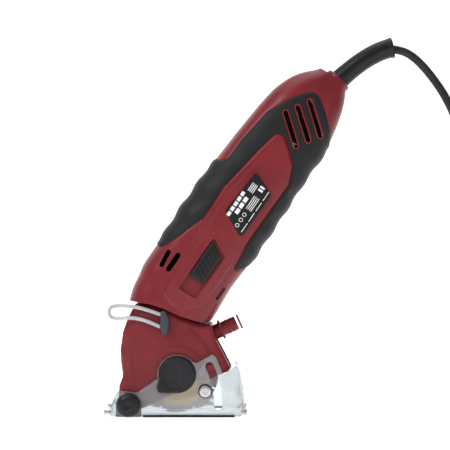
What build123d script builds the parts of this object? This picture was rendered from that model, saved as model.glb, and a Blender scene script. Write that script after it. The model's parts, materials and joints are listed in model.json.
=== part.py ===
from build123d import *
from functools import partial
import math
import os

# Mini plunge circular saw. Millimetres, +Z up, +X towards the cord, -Y is the side with the switch.
# The origin is the middle of the sole, on the surface that the saw stands on.

os.makedirs("parts", exist_ok=True)

# ---------------------------------------------------------------- driving dimensions
blade_radius = 27.4
blade_thickness = 1.2
blade_y = -9.0
spindle_x, spindle_z = 0.5, 29.4
pivot_x, pivot_z = -30.6, 10.0
plunge_arc_radius = 58.3

lean = 55.5                      # the motor axis rises this many degrees from the sole
axis_x, axis_z = -5.6, 71.8      # where the casing's own axis starts
motor_v = 1.5                    # the motor axis lies this far above the casing's axis
bevel_u = 3.0                    # where the cross shaft meets the motor axis

wall = 3.4                       # casing wall, rubber included
rubber = 1.6                     # rubber overmould
panel_proud = 1.5                # raised side panels
running_gap = 0.03               # radial clearance of a turning shaft

guard_face_y = -21.0             # outside of the guard, near side
guard_split_y = -2.0             # guard shell meets the gear case
near_wall_y = (-24.0, -22.0)
far_wall_y = (25.0, 27.0)

cord_diameter = 5.6
loop_diameter = 2.8

gear_module = 1.0
drive_teeth, idler_teeth, spindle_teeth = 17, 28, 20
pinion_teeth, crown_teeth = 9, 27
tooth_fill = 0.84                # tooth thickness as a share of half a pitch
spur_y = (11.0, 16.0)

along = (math.cos(math.radians(lean)), math.sin(math.radians(lean)))
across = (-along[1], along[0])

made = {}


def keep(name, shape):
    made[name] = shape


# ---------------------------------------------------------------- frames and basic shapes
def body_xz(u, v):
    """World X and Z of a point given along and across the casing's axis."""
    return (axis_x + u * along[0] + v * across[0], axis_z + u * along[1] + v * across[1])


def body_plane(u, v=0.0, y=0.0):
    """Plane square to the casing's axis: local x runs across it, local y towards the near side."""
    x, z = body_xz(u, v)
    return Plane(origin=(x, y, z), x_dir=(across[0], 0, across[1]), z_dir=(along[0], 0, along[1]))


def side_plane(y):
    """Plane seen from the near side: local x is X, local y is Z, and it faces -Y."""
    return Plane(origin=(0, y, 0), x_dir=(1, 0, 0), z_dir=(0, -1, 0))


def plate(sketch, y_near, y_far):
    """A side-view sketch given thickness from y_near to y_far."""
    return extrude(side_plane(y_far) * sketch, amount=y_far - y_near)


def pin_y(x, z, radius, y_near, y_far):
    return plate(Pos(x, z) * Circle(radius), y_near, y_far)


def ring_y(x, z, outer, inner, y_near, y_far):
    return plate(Pos(x, z) * (Circle(outer) - Circle(inner)), y_near, y_far)


def pin_u(radius, u_low, u_high, v=motor_v, y=0.0):
    return extrude(body_plane(u_low, v, y) * Circle(radius), amount=u_high - u_low)


def ring_u(outer, inner, u_low, u_high, v=motor_v, y=0.0):
    return extrude(body_plane(u_low, v, y) * (Circle(outer) - Circle(inner)), amount=u_high - u_low)


def block_u(u_low, u_high, v_low, v_high, y_low, y_high):
    """A block square to the casing's axis."""
    middle = body_plane(u_low, (v_low + v_high) / 2, (y_low + y_high) / 2)
    return extrude(middle * Rectangle(v_high - v_low, y_high - y_low), amount=u_high - u_low)


def body_outline(points):
    """A closed side-view face from points given along and across the casing's axis."""
    return make_face(Polyline([body_xz(u, v) for u, v in points], close=True))


def rounded(points, radii):
    """A closed side-view face whose corners are rounded by the radii, one for each point."""
    assert len(points) == len(radii)
    face = make_face(Polyline(points, close=True))
    for (x, z), radius in zip(points, radii):
        if radius > 0:
            corner = min(face.vertices(), key=lambda p: (p.X - x) ** 2 + (p.Y - z) ** 2)
            face = fillet(corner, radius)
    return face


def bearing(axis_ring, outer, inner, low, high):
    """A sealed ball bearing: two races with a shield set back between them."""
    recess = 0.4
    land = (outer - inner) * 0.3
    body = axis_ring(outer, inner, low, high)
    shield_out, shield_in = outer - land, inner + land
    return body - axis_ring(shield_out, shield_in, low, low + recess) - axis_ring(
        shield_out, shield_in, high - recess, high
    )


# ---------------------------------------------------------------- casing
# u, lower and upper edge across the axis, half width, corner radius
casing_stations = [
    (-16.0, -27.5, 21.5, 25.0, 15.0),
    (0.0, -28.2, 26.7, 26.0, 16.0),
    (15.0, -28.3, 30.2, 27.0, 17.0),
    (35.0, -26.8, 30.0, 27.6, 17.0),
    (60.0, -28.2, 30.9, 28.0, 17.0),
    (90.0, -27.8, 30.6, 28.0, 17.0),
    (120.0, -26.9, 28.9, 27.2, 17.0),
    (145.0, -27.4, 26.8, 25.5, 16.0),
    (160.0, -24.8, 24.8, 23.5, 15.0),
    (172.0, -21.8, 20.5, 20.5, 14.0),
    (181.0, -18.4, 14.5, 16.5, 12.0),
    (188.5, -14.0, 6.0, 10.0, 8.0),
]
tail_end_u = casing_stations[-1][0]


def casing_form(inset):
    sections = []
    for u, low, high, half, corner in casing_stations:
        shift = inset if u == tail_end_u else 0.0
        size = (high - low - 2 * inset, 2 * (half - inset))
        sketch = RectangleRounded(size[0], size[1], corner - inset)
        sections.append(body_plane(u - shift, (low + high) / 2) * sketch)
    return loft(sections)


# The rim over the guard slants: further down the tool on the upper edge than on the lower one.
collar_rim = [(-11.0, 27.0), (-3.3, 11.3), (-0.4, 1.4), (1.3, -9.3), (5.2, -22.0), (12.0, -34.0)]
beyond_rim = body_outline(collar_rim + [(-40.0, -34.0), (-40.0, 40.0), (-11.0, 40.0)])

panel_points = [
    (7.5, 8.2), (5.0, 0.0), (6.0, -9.0), (12.0, -17.0), (28.0, -18.0), (66.0, -17.8),
    (112.0, -18.4), (124.0, -13.0), (136.0, 1.5), (134.5, 6.0), (120.0, 9.0), (87.0, 14.0),
    (62.0, 13.5),
]
panel_radii = [2.5, 4.0, 5.0, 5.0, 0, 0, 5.0, 4.0, 3.0, 2.0, 0, 0, 2.0]

grip_points = [
    (30.9, 40.0), (30.9, 26.8), (41.5, 21.9), (51.1, 18.5), (62.0, 14.6), (87.0, 15.0),
    (120.0, 10.0), (134.5, 7.0), (137.2, 1.5), (125.0, -14.0), (113.0, -19.4), (66.0, -18.8),
    (44.6, -21.0), (50.4, -26.4), (56.6, -30.3), (57.0, -40.0), (150.0, -40.0), (150.0, -27.0),
    (156.8, -22.6), (167.9, -7.8), (171.3, -2.5), (171.0, 2.4), (166.2, 7.2), (158.7, 12.2),
    (143.0, 19.6), (119.5, 22.8), (104.0, 23.2), (99.8, 26.4), (99.8, 40.0),
]

slider_rest = (26.5, 52.5)       # u range of the slider at off
slider_v = (-10.0, 0.6)
recess_u = (16.5, 53.5)
recess_v = (-11.0, 1.6)
recess_floor_y = -26.6
slider_y = (-31.5, -26.8)

vent_ends = [((149.6, 9.0), (135.6, -8.6)), ((157.2, 4.6), (143.2, -13.2)), ((164.8, 0.2), (150.2, -18.0))]
vent_width = 3.2

screw_places = [(34.0, 26.6), (30.0, -23.2), (100.0, 27.0), (98.0, -24.2), (156.0, 20.6), (158.0, -20.4)]
boss_radius = 3.2
screw_radius = 1.3
screw_head_radius = 2.4

rib_places = [(20.0, 23.5, 9.5), (97.5, 102.5, 8.0)]
small_slots = [
    ((31.6, 20.6), (22.2, 19.4), 3.0),
    ((33.4, 14.2), (22.6, 14.2), 3.4),
    ((32.0, -22.8), (24.5, -22.8), 2.0),
]


def slot_sketch(start, end, width):
    middle = ((start[0] + end[0]) / 2, (start[1] + end[1]) / 2)
    length = math.dist(start, end)
    x, z = body_xz(*middle)
    first, last = body_xz(*start), body_xz(*end)
    turn = math.degrees(math.atan2(last[1] - first[1], last[0] - first[0]))
    return Pos(x, z) * Rot(0, 0, turn) * SlotOverall(length, width)


def make_screw(u, v):
    x, z = body_xz(u, v)
    return pin_y(x, z, screw_radius, -10.0, 14.0) + pin_y(x, z, screw_head_radius, 14.0, 16.0)


def make_casing():
    outer = casing_form(0.0)
    skin_floor = casing_form(rubber)
    hollow = casing_form(wall)
    reach = 40.0
    front_cut = plate(beyond_rim, -reach, reach)
    panel = plate(rounded([body_xz(u, v) for u, v in panel_points], panel_radii), -29.5, 29.5)
    panel = chamfer(panel.faces().sort_by(Axis.Y)[0].edges(), panel_proud * 0.6)
    panel = chamfer(panel.faces().sort_by(Axis.Y)[-1].edges(), panel_proud * 0.6)
    grip_prism = plate(body_outline(grip_points), -reach, reach)
    grip = ((outer - skin_floor) & grip_prism) - panel
    ribs = Part()
    for low, high, radius in rib_places:
        rib = block_u(low, high, -40, 40, -reach, reach) & hollow
        ribs += rib - pin_u(radius, low - 1, high + 1)
    bosses = Part()
    for u, v in screw_places:
        x, z = body_xz(u, v)
        bosses += pin_y(x, z, boss_radius, -20.0, 20.0) & outer
    clear_motor = pin_u(22.6, 23.6, 97.4)
    shell = (outer - hollow) + ribs + (bosses - clear_motor - grip_prism) + (panel - hollow)
    shell = shell - grip - front_cut
    access = Part()
    for u, v in screw_places:
        x, z = body_xz(u, v)
        shell -= make_screw(u, v)
        grip -= make_screw(u, v)
        access += pin_y(x, z, screw_head_radius, 16.0, reach)
    shell -= access
    grip -= access
    recess = block_u(recess_u[0], recess_u[1], recess_v[0], recess_v[1], -reach, recess_floor_y)
    stem_slot = block_u(24.0, 50.0, -7.5, -3.5, -reach, -20.0)
    shell = shell - recess - stem_slot
    cuts = Part()
    for start, end in vent_ends:
        cuts += plate(slot_sketch(start, end, vent_width), -reach, reach)
    shell -= cuts
    grip -= cuts
    for start, end, width in small_slots:
        shell -= plate(slot_sketch(start, end, width), -reach, -12.0)
    return shell, grip


def halves(shape):
    size = 600.0
    near = Pos(0, -size / 2, 0) * Box(size, size, size)
    far = Pos(0, size / 2, 0) * Box(size, size, size)
    return shape & near, shape & far


# ---------------------------------------------------------------- gear train
cross_x, cross_z = body_xz(bevel_u, motor_v)


def idler_place():
    """The idler's centre, from its two centre distances."""
    first = gear_module * (drive_teeth + idler_teeth) / 2
    second = gear_module * (idler_teeth + spindle_teeth) / 2
    dx, dz = spindle_x - cross_x, spindle_z - cross_z
    span = math.hypot(dx, dz)
    run = (first**2 - second**2 + span**2) / (2 * span)
    rise = math.sqrt(first**2 - run**2)
    return (cross_x + (dx * run - dz * rise) / span, cross_z + (dz * run + dx * rise) / span)


idler_x, idler_z = idler_place()
pressure = math.radians(20.0)
addendum = 0.8 * gear_module
dedendum = 1.15 * gear_module


def spur_gear(x, z, teeth, first_tooth, bore, y_near, y_far):
    """A spur gear with one tooth centred on the direction first_tooth, in degrees."""
    pitch = gear_module * teeth / 2
    base = pitch * math.cos(pressure)

    def roll(radius):
        angle = math.acos(min(1.0, base / radius))
        return math.tan(angle) - angle

    def half_tooth(radius):
        return tooth_fill * math.pi / (2 * teeth) + roll(pitch) - roll(max(radius, base))

    radii = [pitch - dedendum, pitch, pitch + addendum]
    points = []
    for i in range(teeth):
        centre = math.radians(first_tooth) + 2 * math.pi * i / teeth
        for radius in radii:
            angle = centre - half_tooth(radius)
            points.append((radius * math.cos(angle), radius * math.sin(angle)))
        for radius in reversed(radii):
            angle = centre + half_tooth(radius)
            points.append((radius * math.cos(angle), radius * math.sin(angle)))
    outline = make_face(Polyline(points, close=True)) - Circle(bore)
    return plate(Pos(x, z) * outline, y_near, y_far)


def direction(from_point, to_point):
    return math.degrees(math.atan2(to_point[1] - from_point[1], to_point[0] - from_point[0]))


def make_spur_train():
    cross, idler, spindle = (cross_x, cross_z), (idler_x, idler_z), (spindle_x, spindle_z)
    to_idler = direction(cross, idler)
    drive = spur_gear(*cross, drive_teeth, to_idler, 3.0, *spur_y)
    pitch_angle = 360 / idler_teeth
    back = direction(idler, cross)
    idler_tooth = back + pitch_angle / 2
    idler_bore = 2.5 + running_gap
    middle = spur_gear(*idler, idler_teeth, idler_tooth, idler_bore, *spur_y)
    on = direction(idler, spindle)
    steps = round((on - back) / pitch_angle)
    gap_offset = back + steps * pitch_angle - on
    tooth = on + 180 - gap_offset * idler_teeth / spindle_teeth
    last = spur_gear(*spindle, spindle_teeth, tooth, 4.0, *spur_y)
    return drive, middle, last


cone_distance = math.hypot(pinion_teeth, crown_teeth) * gear_module / 2
face_width = 4.5
small_end = (cone_distance - face_width) / cone_distance
sink = 0.35                      # how far a bevel tooth's foot is let into its cone


def bevel_tooth(teeth, pitch_angle, turn):
    """One straight bevel tooth about local +Z, its edges meeting at the cone's apex."""
    tall = (math.cos(pitch_angle), math.sin(pitch_angle))
    out = (-tall[1], tall[0])
    half_pitch = math.pi * cone_distance * math.sin(pitch_angle) / teeth / 2
    rows = [(-dedendum - sink, 1.30), (0.0, tooth_fill), (addendum, 0.46)]
    profile = []
    for height, share in rows:
        profile.append((height, -share * half_pitch * 0.92))
    for height, share in reversed(rows):
        profile.append((height, share * half_pitch * 0.92))

    def corner(height, side, scale):
        axial = (tall[0] * cone_distance + out[0] * height) * scale
        radial = (tall[1] * cone_distance + out[1] * height) * scale
        c, s = math.cos(turn), math.sin(turn)
        across_side = side * scale
        return (radial * c - across_side * s, radial * s + across_side * c, axial)

    ends = []
    for scale in (small_end, 1.0):
        wire = Wire.make_polygon([corner(h, t, scale) for h, t in profile], close=True)
        ends.append(Face(wire))
    return loft(ends, ruled=True)


def bevel_gear_form(teeth, pitch_angle, first_turn, back_points, bore):
    """Cone body and teeth about local +Z, apex at the local origin."""
    tall = (math.cos(pitch_angle), math.sin(pitch_angle))
    foot_a = tall[0] * cone_distance + tall[1] * dedendum
    foot_r = tall[1] * cone_distance - tall[0] * dedendum
    outline = [(foot_r * small_end, foot_a * small_end), (foot_r, foot_a)] + back_points
    outline += [(0, back_points[-1][1]), (0, foot_a * small_end)]
    gear = revolve(Plane.XZ * make_face(Polyline(outline, close=True)), Axis.Z)
    for i in range(teeth):
        gear += bevel_tooth(teeth, pitch_angle, first_turn + 2 * math.pi * i / teeth)
    hole_low, hole_high = bore[1], bore[2]
    gear -= Pos(0, 0, (hole_low + hole_high) / 2) * Cylinder(bore[0], hole_high - hole_low)
    return gear


def make_bevels():
    pinion_angle = math.atan2(pinion_teeth, crown_teeth)
    crown_angle = math.pi / 2 - pinion_angle
    to_far = -math.pi / 2
    pinion = bevel_gear_form(
        pinion_teeth, pinion_angle, to_far, [(4.4, 14.6), (4.4, 16.4)], (2.0, 12.0, 20.0)
    )
    pinion = body_plane(bevel_u, motor_v) * pinion
    crown = bevel_gear_form(
        crown_teeth,
        crown_angle,
        math.pi / crown_teeth,
        [(12.6, 7.8), (8.0, 7.9), (8.0, 9.5)],
        (3.0, 0.0, 20.0),
    )
    crown_frame = Plane(
        origin=(cross_x, 0, cross_z), x_dir=(along[0], 0, along[1]), z_dir=(0, 1, 0)
    )
    return pinion, crown_frame * crown


# ---------------------------------------------------------------- gear head
guard_points = [
    (-26.9, 75.2), (-31.9, 64.9), (-34.6, 57.1), (-36.3, 45.3), (-35.7, 36.1), (-34.6, 28.3),
    (-37.2, 21.5), (-37.0, 12.0), (-34.6, 4.6), (-26.6, 4.6), (-21.9, 6.3), (-7.1, 13.3),
    (8.0, 20.0), (13.9, 25.6), (21.6, 25.9), (35.0, 31.6), (35.3, 34.0), (30.8, 42.9),
    (25.9, 52.0), (23.6, 61.8), (18.0, 61.4), (11.6, 63.6), (2.6, 67.3), (-7.2, 72.0), (-17.0, 75.0),
]
guard_radii = [2, 8, 9, 9, 9, 6, 5, 5, 3, 3, 6, 3, 5, 3, 3, 2, 2, 20, 12, 2, 4, 4, 8, 8, 4]
guard_wall = 2.0
plate_y = (-2.0, 0.5)
tower_y = (0.5, 16.5)
cover_y = (16.5, 20.5)
drum_y = (-9.0, 16.5)
drum_radius = 16.8
idler_tower_radius = 16.6
spindle_tower_radius = 13.0
tower_wall = 1.7
port_y = -8.0
port_rise = 24.0
port_x, port_z = 29.8, 58.0


def port_cylinder(radius, low, high):
    rise = math.radians(port_rise)
    start = Plane(
        origin=(port_x, port_y, port_z), x_dir=(0, 1, 0), z_dir=(math.cos(rise), 0, math.sin(rise))
    )
    return extrude(start.offset(low) * Circle(radius), amount=high - low)


def tower_outline(trim):
    circles = [
        Pos(cross_x, cross_z) * Circle(drum_radius - trim),
        Pos(idler_x, idler_z) * Circle(idler_tower_radius - trim),
        Pos(spindle_x, spindle_z) * Circle(spindle_tower_radius - trim),
    ]
    return make_hull(Sketch(children=circles).edges())


def make_guard():
    outline = rounded(guard_points, guard_radii)
    guard = plate(outline, guard_face_y, guard_split_y)
    inside = offset(outline, -guard_wall)
    guard -= plate(inside, guard_face_y + guard_wall, guard_split_y)
    eye = plate(Pos(pivot_x, pivot_z) * Circle(5.4), guard_face_y, guard_split_y)
    guard += eye & plate(outline, guard_face_y, guard_split_y)
    guard -= pin_y(spindle_x, spindle_z, blade_radius + 1.2, guard_face_y + guard_wall, guard_split_y)
    guard -= pin_y(spindle_x, spindle_z, 9.4, guard_face_y, guard_split_y)
    guard -= pin_y(cross_x, cross_z, drum_radius, drum_y[0], guard_split_y)
    guard -= pin_y(pivot_x, pivot_z, 2.5 + running_gap, guard_face_y, guard_split_y)
    for x, z in guard_screw_places:
        post = pin_y(x, z, 3.0, guard_face_y + guard_wall, guard_split_y)
        guard += post & plate(outline, guard_face_y, guard_split_y)
        guard -= pin_y(x, z, 1.25, -14.0, guard_split_y)
    guard -= port_cylinder(4.9, -16.0, 0.0)
    angle = math.radians(depth_angle)
    guide_x = pivot_x + plunge_arc_radius * math.cos(angle)
    guide_z = pivot_z + plunge_arc_radius * math.sin(angle)
    guide = plate(
        Pos(guide_x, guide_z) * Rot(0, 0, depth_angle) * RectangleRounded(4.4, 4.0, 0.8),
        -24.6,
        guard_face_y,
    )
    return guard, guide


depth_angle = 24.2
guard_screw_places = [(-29.2, 62.0), (-30.6, 31.0), (30.9, 37.2)]


def make_gear_case():
    outline = rounded(guard_points, guard_radii)
    thicker = outline + (Pos(0, 0) * offset(outline, 1.0) & (Pos(43.0, 42.0) * Rectangle(40.0, 34.0)))
    case = plate(thicker, *plate_y)
    case += plate(tower_outline(0.0), *tower_y)
    case += pin_y(cross_x, cross_z, drum_radius, *drum_y)
    case += pin_y(pivot_x, pivot_z, 5.4, plate_y[0], 3.0)
    rim_wall = plate(outline & make_face(Polyline(rim_strip, close=True)), plate_y[0], cover_y[1])
    case += rim_wall
    case -= plate(tower_outline(tower_wall), *tower_y)
    case -= pin_y(cross_x, cross_z, drum_radius - tower_wall, drum_y[0] + 3.0, drum_y[1])
    case -= plate(tower_outline(0.0), *cover_y)
    case -= pin_y(cross_x, cross_z, 7.0, drum_y[0], drum_y[0] + 3.0)
    case += ring_y(spindle_x, spindle_z, 9.6, 8.0, plate_y[0], 2.0)
    case -= pin_y(spindle_x, spindle_z, 8.0, plate_y[0], 2.0)
    case += pin_y(idler_x, idler_z, 5.0, plate_y[0], 4.0)
    case -= pin_y(idler_x, idler_z, 2.5, plate_y[0], 4.0)
    case -= pin_y(pivot_x, pivot_z, 2.5 + running_gap, plate_y[0], 3.0)
    case -= pin_u(6.6, 8.0, 21.0)
    for x, z in guard_screw_places:
        case -= pin_y(x, z, 1.25, *plate_y)
    for x, z in cover_screw_places():
        lug = pin_y(x, z, 2.6, *tower_y) - plate(tower_outline(tower_wall), *tower_y)
        case += lug - pin_y(x, z, 1.2, 8.0, tower_y[1])
        case -= pin_y(x, z, 1.2, 8.0, tower_y[1])
    return case


rim_strip = [
    (-30.0, 74.6), (-17.0, 74.8), (-7.2, 71.8), (2.6, 67.1), (11.6, 63.4), (18.0, 61.2), (26.0, 61.8),
    (26.0, 57.5), (18.0, 57.5), (10.0, 60.0), (1.2, 63.9), (-8.2, 68.4), (-17.0, 71.0), (-30.0, 70.8),
]


def cover_screw_places():
    places = []
    for x, z, radius, angle in (
        (idler_x, idler_z, idler_tower_radius, 178.0),
        (idler_x, idler_z, idler_tower_radius, 2.0),
        (spindle_x, spindle_z, spindle_tower_radius, 215.0),
        (spindle_x, spindle_z, spindle_tower_radius, -20.0),
    ):
        reach = radius + 0.6
        turn = math.radians(angle)
        places.append((x + reach * math.cos(turn), z + reach * math.sin(turn)))
    return places


def make_gear_cover():
    cover = plate(tower_outline(0.0), *cover_y)
    for x, z in cover_screw_places():
        cover += pin_y(x, z, 2.6, *cover_y)
    cover -= pin_y(spindle_x, spindle_z, 8.0, cover_y[0], cover_y[0] + 3.5)
    cover -= pin_y(cross_x, cross_z, 7.0, cover_y[0], cover_y[0] + 3.0)
    cover -= pin_y(idler_x, idler_z, 2.5, cover_y[0], cover_y[0] + 2.0)
    button_x, button_z = lock_place
    cover -= pin_y(button_x, button_z, 1.5 + 0.05, *cover_y)
    for x, z in cover_screw_places():
        cover -= pin_y(x, z, 1.2, *cover_y)
    return cover


lock_place = (idler_x + 8.0, idler_z + 3.0)


def hex_socket(x, z, across_flats, y_near, y_far):
    return plate(Pos(x, z) * RegularPolygon(across_flats / 2, 6, major_radius=False), y_near, y_far)


def socket_screw(x, z, head_radius, shank_radius, head_y, shank_end_y, socket):
    """A cap screw whose head faces the near side; head_y is its outer and seat level."""
    screw = pin_y(x, z, head_radius, *head_y) + pin_y(x, z, shank_radius, head_y[1], shank_end_y)
    depth = (head_y[1] - head_y[0]) * 0.6
    return screw - hex_socket(x, z, socket, head_y[0], head_y[0] + depth)


def far_screw(x, z, head_radius, shank_radius, head_y, shank_end_y):
    """A screw whose head faces the far side, with a crosswise slot."""
    screw = pin_y(x, z, head_radius, *head_y) + pin_y(x, z, shank_radius, shank_end_y, head_y[0])
    slot = plate(Pos(x, z) * Rectangle(head_radius * 1.5, 0.6), head_y[1] - 0.8, head_y[1])
    return screw - slot


# ---------------------------------------------------------------- motor
shaft_radius = 3.0


def make_motor():
    shaft = pin_u(2.0, bevel_u + 12.2, 19.8) + pin_u(shaft_radius, 19.8, 104.0)
    keep("motor_shaft", shaft)
    core = ring_u(12.8, shaft_radius, 42.0, 75.0)
    for i in range(12):
        turn = Rot(0, 0, 30.0 * i)
        groove = body_plane(41.0, motor_v) * turn * Pos(11.6, 0) * Rectangle(3.4, 1.6)
        core -= extrude(groove, amount=36.0)
    keep("armature_core", core)
    bars = ring_u(8.0, shaft_radius, 84.0, 94.0)
    for i in range(16):
        groove = body_plane(84.0, motor_v) * Rot(0, 0, 22.5 * i) * Pos(7.8, 0) * Rectangle(1.2, 0.5)
        bars -= extrude(groove, amount=10.0)
    keep("commutator", bars)
    fan = ring_u(18.0, shaft_radius, 26.5, 28.0) + ring_u(6.0, shaft_radius, 28.0, 33.0)
    for i in range(11):
        blade = body_plane(27.5, motor_v) * Rot(0, 0, 360.0 * i / 11) * Pos(11.5, 0) * Rectangle(12.0, 1.2)
        fan += extrude(blade, amount=5.0)
    keep("cooling_fan", fan)
    stator = ring_u(22.0, 13.4, 42.0, 76.0)
    for side in (1, -1):
        window = body_plane(42.0, motor_v, side * 15.6) * Rectangle(15.0, 4.0)
        stator -= extrude(window, amount=34.0)
    keep("stator_core", stator)
    coils = Part()
    for side in (1, -1):
        coils += block_u(37.0, 81.0, motor_v - 7.2, motor_v + 7.2, side * 15.6 - 1.8, side * 15.6 + 1.8)
    keep("field_coils", coils)
    front = bearing(ring_u, 9.5, shaft_radius + running_gap, 20.2, 23.4)
    rear = bearing(ring_u, 8.0, shaft_radius + running_gap, 98.0, 102.4)
    keep("motor_bearings", front + rear)
    holders, brushes = Part(), Part()
    for side in (1, -1):
        low, high = sorted((side * 9.6, side * 20.5))
        holder = block_u(85.0, 93.0, motor_v - 4.0, motor_v + 4.0, low, high)
        holders += holder - block_u(86.0, 92.0, motor_v - 3.0, motor_v + 3.0, low, high)
        low, high = sorted((side * 8.2, side * 18.0))
        brushes += block_u(86.0, 92.0, motor_v - 3.0, motor_v + 3.0, low, high)
    keep("brush_holders", holders)
    keep("carbon_brushes", brushes)
    keep("switch_module", block_u(112.0, 134.0, -9.0, 9.0, -16.0, 6.0))
    keep("capacitor", block_u(138.0, 152.0, -9.0, 9.0, -6.0, 6.0))


# ---------------------------------------------------------------- blade and spindles
def make_rotating_head():
    drive, idler, last = make_spur_train()
    pinion, crown = make_bevels()
    keep("bevel_pinion", pinion)
    keep("bevel_gear", crown)
    keep("drive_pinion", drive)
    keep("idler_gear", idler)
    keep("spindle_gear", last)
    keep("cross_shaft", pin_y(cross_x, cross_z, 3.0, drum_y[0] + 0.1, 19.4))
    keep("idler_axle", pin_y(idler_x, idler_z, 2.5, plate_y[0], cover_y[0] + 2.0))
    front = blade_y - blade_thickness / 2
    back = blade_y + blade_thickness / 2
    spindle = pin_y(spindle_x, spindle_z, 4.0, -6.0, 19.8) - pin_y(spindle_x, spindle_z, 2.0, -6.0, 4.0)
    keep("spindle", spindle)
    flange = ring_y(spindle_x, spindle_z, 9.0, 2.0, back, -6.0)
    keep("inner_flange", flange + ring_y(spindle_x, spindle_z, 5.0, 2.0, front, back))
    disc = Pos(spindle_x, spindle_z) * (Circle(blade_radius) - Circle(5.0))
    for i in range(8):
        turn = Rot(0, 0, 45.0 * i)
        disc -= Pos(spindle_x, spindle_z) * turn * Pos(blade_radius - 2.2, 0) * Rectangle(6.0, 0.8)
    keep("saw_blade", plate(disc, front, back))
    keep("outer_flange", ring_y(spindle_x, spindle_z, 8.0, 2.0, front - 1.8, front))
    keep("arbor_screw", socket_screw(spindle_x, spindle_z, 4.0, 2.0, (front - 5.6, front - 1.8), 3.5, 4.0))
    cross_ring = partial(ring_y, cross_x, cross_z)
    near = bearing(cross_ring, 7.0, 3.0 + running_gap, -9.0, -6.0)
    far = bearing(cross_ring, 7.0, 3.0 + running_gap, 16.5, 19.5)
    keep("cross_bearings", near + far)
    spindle_ring = partial(ring_y, spindle_x, spindle_z)
    near = bearing(spindle_ring, 8.0, 4.0 + running_gap, -2.0, 2.0)
    far = bearing(spindle_ring, 8.0, 4.0 + running_gap, 16.5, 20.0)
    keep("spindle_bearings", near + far)


# ---------------------------------------------------------------- base
sole_x = (-43.5, 44.0)
sole_y = (-28.0, 28.0)
floor_thickness = 2.0
rear_arc = (74.0, 75.6)
cap_place = (spindle_x + 0.5, spindle_z + 0.3)
lug_radius = 8.3
stop_place = (19.3, 18.8)

near_wall_points = [
    (-44.2, 1.0), (-44.0, 6.4), (-38.6, 17.5), (-37.0, 19.0), (-24.8, 17.8), (-11.8, 26.7),
    (-4.0, 39.0), (11.6, 37.6), (14.1, 37.0), (24.1, 42.8), (26.5, 40.3), (31.1, 28.8),
    (39.3, 35.2), (40.6, 34.6), (44.9, 6.0), (44.6, 1.0),
]
near_wall_radii = [0, 2, 2, 1, 2, 1, 0, 0, 1.5, 1.5, 1.5, 1.5, 0.8, 0.8, 2, 0]
far_wall_points = [
    (-44.2, 1.0), (-44.0, 6.4), (-38.6, 17.5), (-37.0, 19.0), (-24.8, 17.8), (-8.0, 24.0),
    (10.0, 26.0), (31.1, 28.8), (39.3, 35.2), (40.6, 34.6), (44.9, 6.0), (44.6, 1.0),
]
far_wall_radii = [0, 2, 2, 1, 2, 3, 3, 1.5, 0.8, 0.8, 2, 0]


def arc_slot(radius, width, low, high):
    """A slot bent round the pivot, between two angles in degrees."""
    band = Pos(pivot_x, pivot_z) * (Circle(radius + width / 2) - Circle(radius - width / 2))
    reach = 120.0
    corners = [(pivot_x, pivot_z)]
    for angle in (low, high):
        turn = math.radians(angle)
        corners.append((pivot_x + reach * math.cos(turn), pivot_z + reach * math.sin(turn)))
    slot = band & make_face(Polyline(corners, close=True))
    for angle in (low, high):
        turn = math.radians(angle)
        end = Pos(pivot_x + radius * math.cos(turn), pivot_z + radius * math.sin(turn))
        slot += end * Circle(width / 2)
    return slot


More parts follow.
